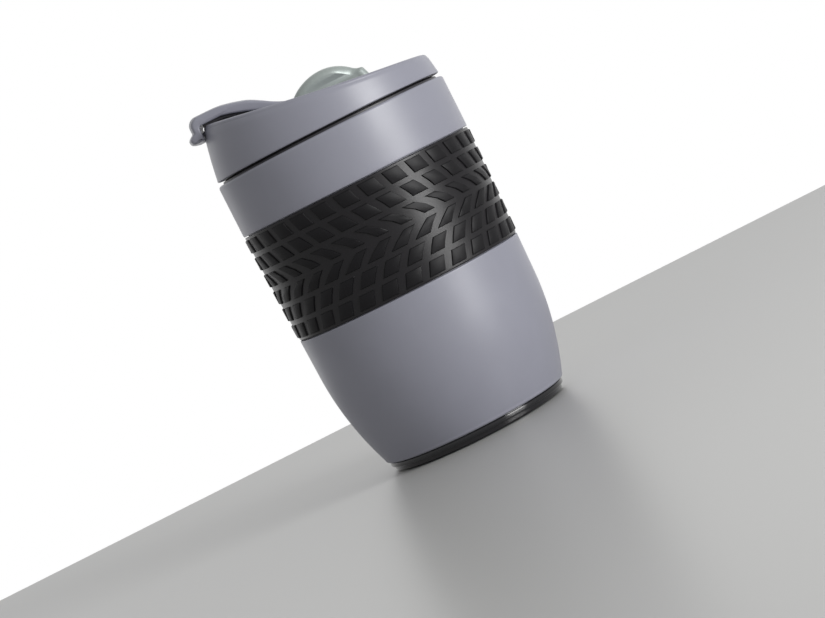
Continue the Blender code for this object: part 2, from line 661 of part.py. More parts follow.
def snap_nub():
    """A half-round bead on the skirt, under the hook tab, that the tab clicks past."""
    height = rim_height(-rim_radius(math.pi)) - NUB_BELOW_RIM
    centre_x = -skirt_radius(height) - NUB_PROUD + NUB_RADIUS
    start = (centre_x, -NUB_WIDTH / 2, height)
    end = (centre_x, NUB_WIDTH / 2, height)
    return rod("snap_nub", start, end, NUB_RADIUS, None, segments=12, end_round=0.3 * MM)


def build_lid_plug(material):
    """Screw plug under the cover: a flange, a wall that carries the thread, a floor with the flow holes."""
    flange = LID_RADIUS - LID_WALL - SEAT_GAP
    low = PLUG_TOP - PLUG_FLANGE
    profile = [(0.0, PLUG_BOTTOM), (PLUG_RADIUS - MM, PLUG_BOTTOM), (PLUG_RADIUS, PLUG_BOTTOM + MM),
               (PLUG_RADIUS, low), (flange, low), (flange, PLUG_TOP), (PLUG_RADIUS - PLUG_WALL, PLUG_TOP),
               (PLUG_RADIUS - PLUG_WALL, PLUG_BOTTOM + PLUG_WALL), (0.0, PLUG_BOTTOM + PLUG_WALL)]
    plug = turned("lid_plug", profile, material, segments=HIDDEN_SEGMENTS)
    for cutter_name, x, radius in (("flow_cutter", FLOW_HOLE_X, FLOW_HOLE_RADIUS),
                                   ("air_cutter", AIR_HOLE_X, AIR_HOLE_RADIUS)):
        low, high = PLUG_BOTTOM - CUT_PAST, PLUG_BOTTOM + PLUG_WALL + CUT_PAST
        cutter = rod(cutter_name, (x, 0.0, low), (x, 0.0, high), radius, None)
        combine(plug, cutter, "DIFFERENCE", solver="MANIFOLD")
    return plug


def build_plug_seal(material):
    """Silicone ring round the plug, just under its flange, that wipes the neck."""
    top = PLUG_TOP - PLUG_FLANGE - SEAT_GAP
    low = top - SEAL_HEIGHT
    inner = PLUG_RADIUS + SEAT_GAP
    outer = NECK_BORE - SEAT_GAP
    band = mix(inner, outer, 0.6)
    profile = [(inner, low), (band, low), (outer, low + SEAL_RIB), (band, low + 2 * SEAL_RIB),
               (band, top - 2 * SEAL_RIB), (outer, top - SEAL_RIB), (band, top), (inner, top)]
    return turned("plug_seal", profile, material, segments=HIDDEN_SEGMENTS)


def build_hinge_pin(material):
    reach = LUG_OUTSIDE - SEAT_GAP
    return rod("hinge_pin", (PIN_X, -reach, PIN_Z), (PIN_X, reach, PIN_Z), PIN_RADIUS, material,
               origin=(PIN_X, 0.0, PIN_Z), end_round=0.25 * MM)


# ---- arm ------------------------------------------------------------------------------------------

def tab_inner_x():
    """The tab's inner face clears the lid's wall and the snap bead on it."""
    height = ARM_TOP - TAB_DROP
    return -skirt_radius(height) - NUB_PROUD - TAB_GAP


def arm_point(shares):
    """A point of the arm's side view, given as shares of the way from the pin to the end of the flat top."""
    return mix(PIN_X, ARM_FLAT_END, shares[0]), mix(PIN_Z, ARM_TOP, shares[1])


def arm_outline():
    """Side view of the arm: hinge knuckle, falling back, flat top, hook tab with its lip."""
    inner = tab_inner_x()
    waist = inner - TAB_THICKNESS
    lip = waist - TAB_LIP
    foot = ARM_TOP - TAB_DROP
    under = ARM_TOP - ARM_THICKNESS
    back = smooth_path([arm_point(shares) for shares in ARM_BACK] + [(waist + 4.2 * MM, ARM_TOP)], 2)
    shoulder = arc((waist + TAB_ROUND, ARM_TOP - TAB_ROUND), TAB_ROUND, 90, 180, 5)
    tab = [(waist, foot + 4.0 * MM), (lip + 0.7 * MM, foot + 2.6 * MM), (lip, foot + 1.6 * MM),
           (lip + 0.5 * MM, foot + 0.3 * MM), (lip + 1.6 * MM, foot), (inner - 0.5 * MM, foot),
           (inner, foot + 0.5 * MM), (inner, under - 0.8 * MM), (inner + 0.8 * MM, under)]
    belly = smooth_path([(ARM_FLAT_END - 1.5 * MM, under)] + [arm_point(shares) for shares in ARM_BELLY], 2)
    knuckle = arc((PIN_X, PIN_Z), KNUCKLE_RADIUS, 215, 450, 10)
    return back + shoulder + tab + belly + knuckle


def arm_shape(x, y, z):
    """Narrow the arm towards the hook, crown its top, and curl the hook round the lid."""
    towards_tip = ease(-x, -ARM_WEB_END, -ARM_FLAT_END + 8 * MM)
    y = y * mix(1.0, ARM_TIP_SHARE, towards_tip)
    across = abs(y) / ARM_HALF_WIDTH
    upper = ease(z, PIN_Z + 4 * MM, ARM_TOP)
    z = z - ARM_CROWN * across ** 2 * upper
    curl = LID_RADIUS - math.sqrt(LID_RADIUS ** 2 - y * y)
    return x + curl * ease(-x, -ARM_FLAT_END, -ARM_FLAT_END + 8 * MM), y, z


def underplate_outline(margin):
    """Side view of the plate let into the arm's belly; margin grows it all round for its pocket."""
    under = ARM_TOP - ARM_THICKNESS
    points = [(UNDERPLATE_START, under), (ARM_FLAT_END - 1.5 * MM, under)]
    points += [arm_point(shares) for shares in ARM_BELLY[:5]]
    path = smooth_path(points, 2)
    path[0] = (path[0][0] - margin, path[0][1])
    path[-1] = (path[-1][0] + margin, path[-1][1] - margin * 0.4)
    lower = [(x, z - (CUT_PAST if margin else 0.0)) for x, z in path]
    upper = [(x, z + UNDERPLATE_THICKNESS + margin) for x, z in path]
    return lower + upper[::-1]


def underplate_half_width():
    return ARM_HALF_WIDTH * ARM_TIP_SHARE - UNDERPLATE_MARGIN


def build_flip_arm(material):
    pin = (PIN_X, 0.0, PIN_Z)
    arm = slab("flip_arm", arm_outline(), ARM_HALF_WIDTH, material, edge_round=ARM_ROUND,
               shape=arm_shape, stations=7, origin=pin)
    fork = block("fork_cutter", (ARM_WEB_END, -PRONG_INSIDE, PIN_Z - KNUCKLE_RADIUS - CUT_PAST),
                 (PIN_X + KNUCKLE_RADIUS + CUT_PAST, PRONG_INSIDE, ARM_TOP + CUT_PAST))
    combine(arm, fork, "DIFFERENCE")
    combine(arm, pin_cutter("arm_bore_cutter", 2 * ARM_HALF_WIDTH), "DIFFERENCE")
    pocket = slab("underplate_pocket", underplate_outline(SEAT_GAP), underplate_half_width() + SEAT_GAP, None)
    combine(arm, pocket, "DIFFERENCE")
    return arm


def build_underplate(material):
    return slab("arm_underplate", underplate_outline(0.0), underplate_half_width(), material,
                origin=(PIN_X, 0.0, PIN_Z))


def plate_underside(x):
    """Height of the underplate's lower face at x, read off its outline."""
    lower = underplate_outline(0.0)
    lower = lower[:len(lower) // 2]
    for (x0, z0), (x1, z1) in zip(lower, lower[1:]):
        if x0 <= x <= x1:
            return mix(z0, z1, (x - x0) / (x1 - x0))
    return lower[-1][1]


def build_stopper(name, x, hole_radius, stem_radius, material):
    """A turned plug that hangs from the underplate and dips into its hole in the deck."""
    reach = hole_radius - STOPPER_GAP
    tip = deck_height(x) - STOPPER_DIP
    collar = deck_height(x) + abs(LID_SLOPE) * (hole_radius + 2 * MM) + 1.0 * MM
    top = plate_underside(x + stem_radius) - SEAT_GAP
    flare = min(hole_radius + STOPPER_FLARE, collar - tip)
    profile = [(0.0, tip), (reach * 0.72, tip), (reach, tip + 0.8 * MM), (reach, collar - 0.6 * MM),
               (flare, collar), (flare, collar + 0.7 * MM), (stem_radius, collar + 1.1 * MM),
               (stem_radius, top), (0.0, top)]
    obj = turned(name, profile, material, segments=32)
    for vert in obj.data.vertices:
        vert.co.x += x - PIN_X
        vert.co.z -= PIN_Z
    obj.location = (PIN_X, 0.0, PIN_Z)
    return obj


# ---- button ---------------------------------------------------------------------------------------

def hump_outline(skin=0.0):
    """Side view of the button: the nose, the round hump, the thumb ledge, and the sloping heel."""
    nose, heel = NOSE_X + skin, HEEL_X - skin
    back, front = BUTTON_BACK_RADIUS - skin, BUTTON_RADIUS - skin
    back_center = (BUTTON_X, BUTTON_PEAK - BUTTON_BACK_RADIUS)
    front_center = (BUTTON_X, BUTTON_PEAK - BUTTON_RADIUS)
    start = 90 + math.degrees(math.asin((BUTTON_X - nose) / back))
    end = math.degrees(math.asin((PIN_Z + LEDGE_FOOT_RISE - skin - front_center[1]) / front))
    hump = arc(back_center, back, start, 90, 9) + arc(front_center, front, 90, end, 8)[1:]
    foot, ledge = hump[-1], (heel - LEDGE_BACK, PIN_Z + LEDGE_RISE - skin)
    tail = [(mix(foot[0], ledge[0], 0.5), mix(foot[1], ledge[1], 0.7)), ledge,
            (ledge[0] + 0.6 * MM, ledge[1] - 0.6 * MM), (heel, BUTTON_FLOOR)]
    return [(nose, BUTTON_FLOOR)] + hump + tail


def hump_plan(x, y, z):
    """Seen from above, the hump narrows at its nose and is drawn in before the ledge."""
    towards_nose = max(0.0, (BUTTON_X - x) / (BUTTON_X - NOSE_X))
    towards_waist = math.exp(-((x - PIN_X - WAIST_STEP) / WAIST_LENGTH) ** 2)
    return x, y * (1 - NOSE_NARROW * towards_nose ** 2) * (1 - WAIST_DEPTH * towards_waist), z


def draw_in_hump(outline, distance):
    """Shrink the hump's outline towards the middle of its floor, so that its sides slope evenly."""
    share = 1 - distance / BUTTON_RADIUS
    return [(mix(BUTTON_X, x, share), mix(BUTTON_FLOOR, z, share)) for x, z in outline]


def pin_cutter(name, half_length):
    radius = PIN_RADIUS + PIN_CLEARANCE
    return rod(name, (PIN_X, -half_length, PIN_Z), (PIN_X, half_length, PIN_Z), radius, None)


def build_button_cap(material):
    """The satin cap over the button: a rounded hump, hollow from below, notched for the pin and the toe."""
    cap = slab("button_cap", hump_outline(), BUTTON_HALF_WIDTH, material, edge_round=BUTTON_ROUND,
               shape=hump_plan, origin=(PIN_X, 0.0, PIN_Z), narrow=draw_in_hump)
    hollow = hump_outline(BUTTON_SKIN)
    hollow += [(hollow[-1][0], BUTTON_FLOOR - CUT_PAST), (hollow[0][0], BUTTON_FLOOR - CUT_PAST)]
    inside = slab("cap_hollow", hollow, BUTTON_HALF_WIDTH - BUTTON_SKIN, None, edge_round=BUTTON_ROUND,
                  shape=hump_plan, narrow=draw_in_hump)
    combine(cap, inside, "DIFFERENCE", solver="MANIFOLD")
    combine(cap, pin_cutter("cap_pin_cutter", 2 * BUTTON_HALF_WIDTH), "DIFFERENCE", solver="MANIFOLD")
    notch = block("toe_notch", (NOSE_X - CUT_PAST, -TOE_HALF_WIDTH - SEAT_GAP, BUTTON_FLOOR - CUT_PAST),
                  (NOSE_X + CUT_PAST, TOE_HALF_WIDTH + SEAT_GAP, TOE_TOP + SEAT_GAP))
    combine(cap, notch, "DIFFERENCE", solver="MANIFOLD")
    return cap


def build_button_carrier(material):
    """Dark frame inside the cap: it turns on the pin, and its toe reaches under the arm."""
    skin = BUTTON_SKIN + SEAT_GAP
    half = BUTTON_HALF_WIDTH - skin
    carrier = slab("button_carrier", hump_outline(skin), half, material, edge_round=BUTTON_ROUND,
                   shape=hump_plan, origin=(PIN_X, 0.0, PIN_Z), narrow=draw_in_hump)
    knuckle = rod("carrier_knuckle", (PIN_X, -half, PIN_Z), (PIN_X, half, PIN_Z), KNUCKLE_RADIUS, None)
    combine(carrier, knuckle, "UNION")
    toe = block("carrier_toe", (TOE_X, -TOE_HALF_WIDTH, TOE_TOP - TOE_THICKNESS),
                (NOSE_X + skin + CUT_PAST, TOE_HALF_WIDTH, TOE_TOP))
    combine(carrier, toe, "UNION")
    combine(carrier, pin_cutter("carrier_pin_cutter", 2 * half), "DIFFERENCE")
    pocket_reach = spring_mean() + SPRING_WIRE + SEAT_GAP
    side = spring_half_width() + SEAT_GAP
    pocket = block("spring_pocket", (PIN_X - pocket_reach, -side, PIN_Z - KNUCKLE_RADIUS - CUT_PAST),
                   (PIN_X + SPRING_LEG + MM, side, PIN_Z + pocket_reach + SPRING_LEG_RISE))
    combine(carrier, pocket, "DIFFERENCE")
    return carrier


def spring_mean():
    return PIN_RADIUS + 2 * SEAT_GAP + SPRING_WIRE


def spring_half_width():
    return SPRING_TURNS * SPRING_PITCH / 2 + SPRING_WIRE


def build_button_spring(material):
    """Torsion spring round the pin: its foot leg lies along the deck, its other leg points at the button."""
    mean = spring_mean()
    half = SPRING_TURNS * SPRING_PITCH / 2
    foot_x = PIN_X + SPRING_LEG
    points = [(foot_x, -half, deck_height(foot_x) + SPRING_WIRE + SEAT_GAP)]
    sweep = 2 * math.pi * SPRING_TURNS - math.radians(120)
    steps = SPRING_TURNS * 10
    for index in range(steps + 1):
        share = index / steps
        angle = math.radians(-90) - sweep * share
        along = mix(-half, half, share)
        points.append((PIN_X + mean * math.cos(angle), along, PIN_Z + mean * math.sin(angle)))
    lift = math.radians(12)
    start = points[-1]
    points.append((start[0] + (SPRING_LEG - mean) * math.cos(lift), half,
                   start[2] + (SPRING_LEG - mean) * math.sin(lift) - 0.8 * MM))
    curve = bpy.data.curves.new("button_spring", "CURVE")
    curve.dimensions = "3D"
    curve.bevel_depth = SPRING_WIRE
    curve.bevel_resolution = 1
    curve.use_fill_caps = True
    spline = curve.splines.new("POLY")
    spline.points.add(len(points) - 1)
    for point, place in zip(spline.points, points):
        point.co = (*place, 1.0)
    curve.materials.append(material)
    spring = bpy.data.objects.new("button_spring", curve)
    bpy.context.scene.collection.objects.link(spring)
    return spring


def main():
    clear_scene()
    shell_grey = make_material("warm_grey_plastic", (0.36, 0.36, 0.40), 0.45)
    lid_grey = make_material("lid_grey_plastic", (0.36, 0.36, 0.40), 0.45)
    liner_black = make_material("liner_black_plastic", (0.03, 0.03, 0.035), 0.4)
    sleeve_black = make_material("black_silicone", (0.02, 0.02, 0.022), 0.6)
    base_black = make_material("gloss_black_plastic", (0.015, 0.015, 0.017), 0.15)
    foot_black = make_material("foot_rubber", (0.03, 0.03, 0.03), 0.8)
    seal_grey = make_material("seal_silicone", (0.10, 0.10, 0.11), 0.5)
    steel = make_material("pin_steel", (0.62, 0.62, 0.63), 0.3, 1.0)
    satin = make_material("satin_silver", (0.52, 0.56, 0.54), 0.35, 0.7)
    build_outer_shell(shell_grey)
    build_inner_liner(liner_black)
    build_grip_sleeve(sleeve_black)
    build_base_cap(base_black)
    build_foot_pad(foot_black)
    build_lid_cover(lid_grey)
    build_lid_plug(liner_black)
    build_plug_seal(seal_grey)
    build_hinge_pin(steel)
    build_flip_arm(lid_grey)
    build_underplate(liner_black)
    build_stopper("spout_stopper", SPOUT_X, SPOUT_RADIUS, SPOUT_STEM, seal_grey)
    build_stopper("vent_stopper", VENT_X, VENT_RADIUS, VENT_STEM, seal_grey)
    build_button_cap(satin)
    build_button_carrier(base_black)
    build_button_spring(steel)


main()
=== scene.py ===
# %% [markdown]
# # A double-walled travel mug
# The mug is a turned plastic cup in a rubber sleeve that is moulded like a tyre's tread. Its screw lid has
# a sloped top, a flip arm that plugs the spout, and a satin thumb button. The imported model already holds
# every piece at its true size and every joint, so this script only gives the pieces their fine surface.
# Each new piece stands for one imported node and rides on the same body, so it moves with the same joint.

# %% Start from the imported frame
import json
import math

import bmesh
import bpy
from mathutils import Euler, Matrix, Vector
from mathutils.geometry import tessellate_polygon


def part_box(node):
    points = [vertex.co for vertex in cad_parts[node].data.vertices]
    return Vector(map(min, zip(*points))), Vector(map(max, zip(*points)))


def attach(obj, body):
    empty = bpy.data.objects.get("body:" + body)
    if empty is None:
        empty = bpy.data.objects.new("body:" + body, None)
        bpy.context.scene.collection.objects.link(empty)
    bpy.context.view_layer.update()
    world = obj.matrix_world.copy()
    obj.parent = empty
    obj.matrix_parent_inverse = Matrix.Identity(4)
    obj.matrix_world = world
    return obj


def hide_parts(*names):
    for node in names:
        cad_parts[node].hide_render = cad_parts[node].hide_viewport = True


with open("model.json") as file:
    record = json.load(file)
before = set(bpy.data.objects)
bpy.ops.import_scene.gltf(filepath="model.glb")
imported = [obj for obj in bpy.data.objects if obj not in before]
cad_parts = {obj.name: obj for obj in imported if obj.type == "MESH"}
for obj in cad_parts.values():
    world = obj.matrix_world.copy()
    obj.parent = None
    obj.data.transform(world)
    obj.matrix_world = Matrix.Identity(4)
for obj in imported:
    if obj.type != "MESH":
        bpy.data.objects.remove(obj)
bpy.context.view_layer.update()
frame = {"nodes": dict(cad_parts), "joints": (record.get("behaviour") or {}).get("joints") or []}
MM = 0.001

# %% [markdown]
# ## Sizes
# Places come from the frame: a node's box says how high and how wide it is, and a joint says where its pin
# lies. Only what a box can't tell, such as a wall, a rounding or a slope, is a named value here.

# %% Read the places of the main pieces
BARREL_LOW, BARREL_TOP = (corner.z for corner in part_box("outer_shell"))
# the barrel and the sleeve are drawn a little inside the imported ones, as the real mug is that much slimmer
BARREL_TRIM, SLEEVE_TRIM_LOW, SLEEVE_TRIM_TOP = 0.35 * MM, 0.9 * MM, 0.2 * MM
BARREL_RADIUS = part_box("outer_shell")[1].x - BARREL_TRIM
SLEEVE_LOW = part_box("grip_sleeve")[0].z + SLEEVE_TRIM_LOW
SLEEVE_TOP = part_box("grip_sleeve")[1].z - SLEEVE_TRIM_TOP
NECK_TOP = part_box("inner_liner")[1].z
LINER_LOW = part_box("inner_liner")[0].z
LID_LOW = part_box("lid_cover")[0].z
LID_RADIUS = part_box("lid_cover")[1].x
PLUG_LOW, PLUG_TOP = (corner.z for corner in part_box("lid_plug"))
PIN_X, _, PIN_Z = next(joint["pos_m"] for joint in frame["joints"] if joint["name"] == "arm_hinge")
ARM_HALF_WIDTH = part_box("flip_arm")[1].y
ARM_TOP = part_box("flip_arm")[1].z
PIN_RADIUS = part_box("hinge_pin")[1].x - PIN_X
print(f"barrel {BARREL_RADIUS * 2000:.1f} mm wide, lid from {LID_LOW * 1000:.1f} mm up")

# %% [markdown]
# ## Helpers for turned and moulded pieces
# Most of the mug is round, so one helper spins a closed profile about the axis. A profile is a list of
# (radius, height) points, and a point on the axis becomes a pole. The arm and the button are moulded
# slabs: a side view pushed across Y, with its edges rounded by drawing the outline in near the two sides.
# Both helpers make the mesh in place, so that a finished object sits at the origin.

# %% Plane curves
def arc(center, radius, start_deg, end_deg, steps):
    """Points of an arc from start to end, both included."""
    angles = [math.radians(start_deg + (end_deg - start_deg) * i / steps) for i in range(steps + 1)]
    return [(center[0] + radius * math.cos(a), center[1] + radius * math.sin(a)) for a in angles]


def mix(start, end, share):
    return start + (end - start) * share


def spread(low, high, steps):
    return [mix(low, high, i / steps) for i in range(steps + 1)]


def ease(value, start, end):
    """0 before start, 1 after end, smooth between."""
    share = min(1.0, max(0.0, (value - start) / (end - start)))
    return share * share * (3 - 2 * share)


def smooth_path(points, steps):
    """A Catmull-Rom curve through the points."""
    padded = [points[0], *points, points[-1]]
    path = []
    for a, b, c, d in zip(padded, padded[1:], padded[2:], padded[3:]):
        for i in range(steps):
            t = i / steps
            path.append(tuple(0.5 * (2 * q + (r - p) * t + (2 * p - 5 * q + 4 * r - s) * t * t
                                     + (3 * q - p - 3 * r + s) * t ** 3)
                              for p, q, r, s in zip(a, b, c, d)))
    path.append(points[-1])
    return path


# %% Meshes from curves
SMOOTH_ANGLE = math.radians(35)


def finish_mesh(bm, name, angle=SMOOTH_ANGLE):
    """A bmesh becomes an object at the origin, faces out, smooth but for its true edges."""
    bmesh.ops.recalc_face_normals(bm, faces=bm.faces)
    mesh = bpy.data.meshes.new(name)
    bm.to_mesh(mesh)
    bm.free()
    mesh.shade_smooth()
    mesh.set_sharp_from_angle(angle=angle)
    obj = bpy.data.objects.new(name, mesh)
    bpy.context.scene.collection.objects.link(obj)
    return obj


def bridge(bm, lower, upper):
    for i in range(len(lower)):
        j = (i + 1) % len(lower)
        bm.faces.new((lower[i], lower[j], upper[j], upper[i]))


def turned(name, profile, segments=192):
    """Spin a closed profile about Z."""
    bm = bmesh.new()
    rings = []
    for radius, height in profile:
        count = 1 if radius < 1e-7 else segments
        rings.append([bm.verts.new((radius * math.cos(math.tau * i / segments),
                                    radius * math.sin(math.tau * i / segments), height))
                      for i in range(count)])
    for first, second in zip(rings, rings[1:] + rings[:1]):
        if len(first) == len(second) == 1:
            continue
        if len(first) > 1 and len(second) > 1:
            bridge(bm, first, second)
            continue
        pole, ring = (first[0], second) if len(first) == 1 else (second[0], first)
        for i in range(segments):
            bm.faces.new((pole, ring[i], ring[(i + 1) % segments]))
    return finish_mesh(bm, name)


def draw_in(outline, distance):
    """Move each point of an outline inwards along the mean normal of its two edges."""
    area = sum(a[0] * b[1] - b[0] * a[1] for a, b in zip(outline, outline[1:] + outline[:1]))
    turn = 1.0 if area > 0 else -1.0
    moved = []
    for before, here, after in zip(outline[-1:] + outline[:-1], outline, outline[1:] + outline[:1]):
        first = Vector((here[0] - before[0], here[1] - before[1])).normalized()
        second = Vector((after[0] - here[0], after[1] - here[1])).normalized()
        both = first + second
        normal = Vector((-turn * both.y, turn * both.x))
        reach = distance / max(normal.length / 2, 0.6)
        normal.normalize()
        moved.append((here[0] + normal.x * reach, here[1] + normal.y * reach))
    return moved


def slab(name, outline, half_width, edge_round=0.0, round_steps=6, stations=3, shape=None, narrow=draw_in):
    """Push a side view across Y. shape(x, y, z) bends it, narrow() draws the outline in at the sides."""
    sections = []
    for i in range(round_steps if edge_round else 0):
        angle = math.pi / 2 * i / round_steps
        sections.append((half_width - edge_round * (1 - math.cos(angle)), edge_round * (1 - math.sin(angle))))
    rounded = list(sections)
    flat = half_width - edge_round
    sections += [(flat * (1 - 2 * i / (stations - 1)), 0.0) for i in range(stations)]
    sections += [(-y, inset) for y, inset in reversed(rounded)]
    side = narrow(outline, edge_round) if edge_round else outline
    triangles = tessellate_polygon([[Vector((x, z, 0.0)) for x, z in side]])
    bm = bmesh.new()
    rings = []
    for y, inset in sections:
        points = [(x, y, z) for x, z in (narrow(outline, inset) if inset else outline)]
        rings.append([bm.verts.new(shape(*p) if shape else p) for p in points])
    for first, second in zip(rings, rings[1:]):
        bridge(bm, first, second)
    for ring in (rings[0], rings[-1]):
        for corners in triangles:
            bm.faces.new([ring[corner] for corner in corners])
    return finish_mesh(bm, name)


# %% [markdown]
# A Boolean cuts holes and welds lugs on. The cutter is only a helper, so the result is read from the
# evaluated object into a plain mesh and the helper is deleted.

# %% Cut, weld and freeze
def freeze(obj, angle=SMOOTH_ANGLE):
    """Swap an object's mesh for what its modifiers make of it."""
    bpy.context.view_layer.update()
    evaluated = obj.evaluated_get(bpy.context.evaluated_depsgraph_get())
    mesh = bpy.data.meshes.new_from_object(evaluated)
    obj.modifiers.clear()
    obj.data = mesh
    obj.data.name = obj.name
    mesh.shade_smooth()
    mesh.set_sharp_from_angle(angle=angle)
    return obj


def combine(obj, helpers, operation):
    for helper in helpers:
        modifier = obj.modifiers.new(helper.name, "BOOLEAN")
        modifier.operation = operation
        modifier.solver = "MANIFOLD"
        modifier.object = helper
    freeze(obj)
    for helper in helpers:
        bpy.data.objects.remove(helper, do_unlink=True)
    return obj


def rod(name, x, z, low, high, radius, axis="Y", segments=48, chamfer=0.0):
    """A round bar through (x, z) along Y, or through x along Z, from low to high."""
    stops = [(low, radius), (high, radius)]
    if chamfer:
        stops = [(low, radius - chamfer), (low + chamfer, radius), (high - chamfer, radius),
                 (high, radius - chamfer)]
    bm = bmesh.new()
    rings = []
    for along, size in stops:
        ring = []
        for i in range(segments):
            first = size * math.cos(math.tau * i / segments)
            second = size * math.sin(math.tau * i / segments)
            place_at = (x + first, along, z + second) if axis == "Y" else (x + first, second, along)
            ring.append(bm.verts.new(place_at))
        rings.append(ring)
    for first, second in zip(rings, rings[1:]):
        bridge(bm, first, second)
    bm.faces.new(rings[0])
    bm.faces.new(rings[-1])
    return finish_mesh(bm, name)


def box_block(name, low, high):
    bm = bmesh.new()
    bmesh.ops.create_cube(bm, size=1.0)
    for vert in bm.verts:
        vert.co = [h if c > 0 else l for c, l, h in zip(vert.co, low, high)]
    return finish_mesh(bm, name)


# %% [markdown]
# ## Shader groups
# Moulded plastic is never one flat colour. The tool's skin gives it a fine grain, handling leaves it a
# little glossier in places, and dust settles in soft patches. Each effect is a node group, so that every
# finish can use it with its own amounts. A group only puts out values and normals: the Principled BSDF
# stays in the material. Patterns are read from Object coordinates in metres.

# %% Build a node group
def new_group(name, inputs, outputs):
    """An empty shader group with float inputs {name: default} and outputs {name: socket type}."""
    group = bpy.data.node_groups.new(name, "ShaderNodeTree")
    for label, default in inputs.items():
        socket = group.interface.new_socket(label, in_out="INPUT", socket_type="NodeSocketFloat")
        socket.default_value = default
    for label, kind in outputs.items():
        group.interface.new_socket(label, in_out="OUTPUT", socket_type=kind)
    return group, group.nodes.new("NodeGroupInput"), group.nodes.new("NodeGroupOutput")


def feed(tree, socket, value):
    """Give a socket a constant, or a link where the value is itself a socket."""
    if isinstance(value, bpy.types.NodeSocket):
        tree.links.new(value, socket)
    else:
        socket.default_value = value


def add_node(tree, kind, feeds=None, **settings):
    """A new node with its settings made first, then its inputs fed by name."""
    node = tree.nodes.new(kind)
    for label, value in settings.items():
        setattr(node, label, value)
    for label, value in (feeds or {}).items():
        feed(tree, node.inputs[label], value)
    return node


def add_noise(group, scale, detail, stretch=(1.0, 1.0, 1.0)):
    """A noise texture on Object coordinates. scale is a value or a socket."""
    place = add_node(group, "ShaderNodeTexCoord")
    turn = add_node(group, "ShaderNodeMapping", {"Vector": place.outputs["Object"], "Scale": stretch})
    return add_node(group, "ShaderNodeTexNoise", {
        "Vector": turn.outputs["Vector"], "Scale": scale, "Detail": detail}).outputs["Fac"]


def add_math(group, operation, first, second):
    node = add_node(group, "ShaderNodeMath", operation=operation)
    for socket, value in zip(node.inputs, (first, second)):
        feed(group, socket, value)
    return node.outputs["Value"]


def add_range(group, value, low, high, to_low, to_high):
    return add_node(group, "ShaderNodeMapRange", {
        "Value": value, "From Min": low, "From Max": high, "To Min": to_low, "To Max": to_high,
    }).outputs["Result"]


# %% Grain: the fine skin that a mould leaves
def build_grain_group():
    group, given, result = new_group("mould_grain",
                                     {"Grain per metre": 3000.0, "Height": 0.00002, "Strength": 0.3},
                                     {"Normal": "NodeSocketVector", "Height": "NodeSocketFloat"})
    fine = add_noise(group, given.outputs["Grain per metre"], 3.0)
    coarse = add_noise(group, add_math(group, "MULTIPLY", given.outputs["Grain per metre"], 0.22), 2.0)
    both = add_math(group, "ADD", fine, add_math(group, "MULTIPLY", coarse, 0.5))
    bump = add_node(group, "ShaderNodeBump", {
        "Height": both, "Distance": given.outputs["Height"], "Strength": given.outputs["Strength"]})
    group.links.new(bump.outputs["Normal"], result.inputs["Normal"])
    group.links.new(both, result.inputs["Height"])
    return group


grain_group = build_grain_group()
print("group:", grain_group.name)

# %% Handling: soft patches that are a little glossier, and dust that is a little lighter
def build_handling_group():
    group, given, result = new_group("handling_marks", {"Roughness": 0.5, "Gloss": 0.08, "Dust": 0.1},
                                     {"Roughness": "NodeSocketFloat", "Dust": "NodeSocketFloat"})
    patches = add_range(group, add_noise(group, 28.0, 3.0), 0.42, 0.66, 0.0, 1.0)
    smears = add_range(group, add_noise(group, 160.0, 4.0, (1.0, 1.0, 0.35)), 0.5, 0.75, 0.0, 1.0)
    touched = add_math(group, "ADD", patches, add_math(group, "MULTIPLY", smears, 0.5))
    gloss = add_math(group, "MULTIPLY", touched, given.outputs["Gloss"])
    specks = add_range(group, add_noise(group, 1400.0, 1.0), 0.70, 0.76, 0.0, 1.0)
    film = add_range(group, add_noise(group, 45.0, 5.0), 0.45, 0.8, 0.0, 0.6)
    dust = add_math(group, "MULTIPLY", add_math(group, "ADD", specks, film), given.outputs["Dust"])
    rough = add_math(group, "SUBTRACT", given.outputs["Roughness"], gloss)
    group.links.new(add_math(group, "ADD", rough, dust), result.inputs["Roughness"])
    group.links.new(dust, result.inputs["Dust"])
    return group


handling_group = build_handling_group()
print("group:", handling_group.name)

# %% Scratches: hair-fine marks in a lacquer or on steel
def build_scratch_group():
    group, given, result = new_group("hair_scratches", {"Density": 900.0, "Amount": 0.2},
                                     {"Mask": "NodeSocketFloat"})
    lines = None
    for stretch in ((1.0, 0.05, 0.3), (0.06, 1.0, 0.5)):
        noise = add_noise(group, given.outputs["Density"], 1.0, stretch)
        line = add_range(group, add_math(group, "ABSOLUTE", add_math(group, "SUBTRACT", noise, 0.5), 0.0),
                         0.0, 0.012, 1.0, 0.0)
        lines = line if lines is None else add_math(group, "MAXIMUM", lines, line)
    group.links.new(add_math(group, "MULTIPLY", lines, given.outputs["Amount"]), result.inputs["Mask"])
    return group


scratch_group = build_scratch_group()
print("group:", scratch_group.name)
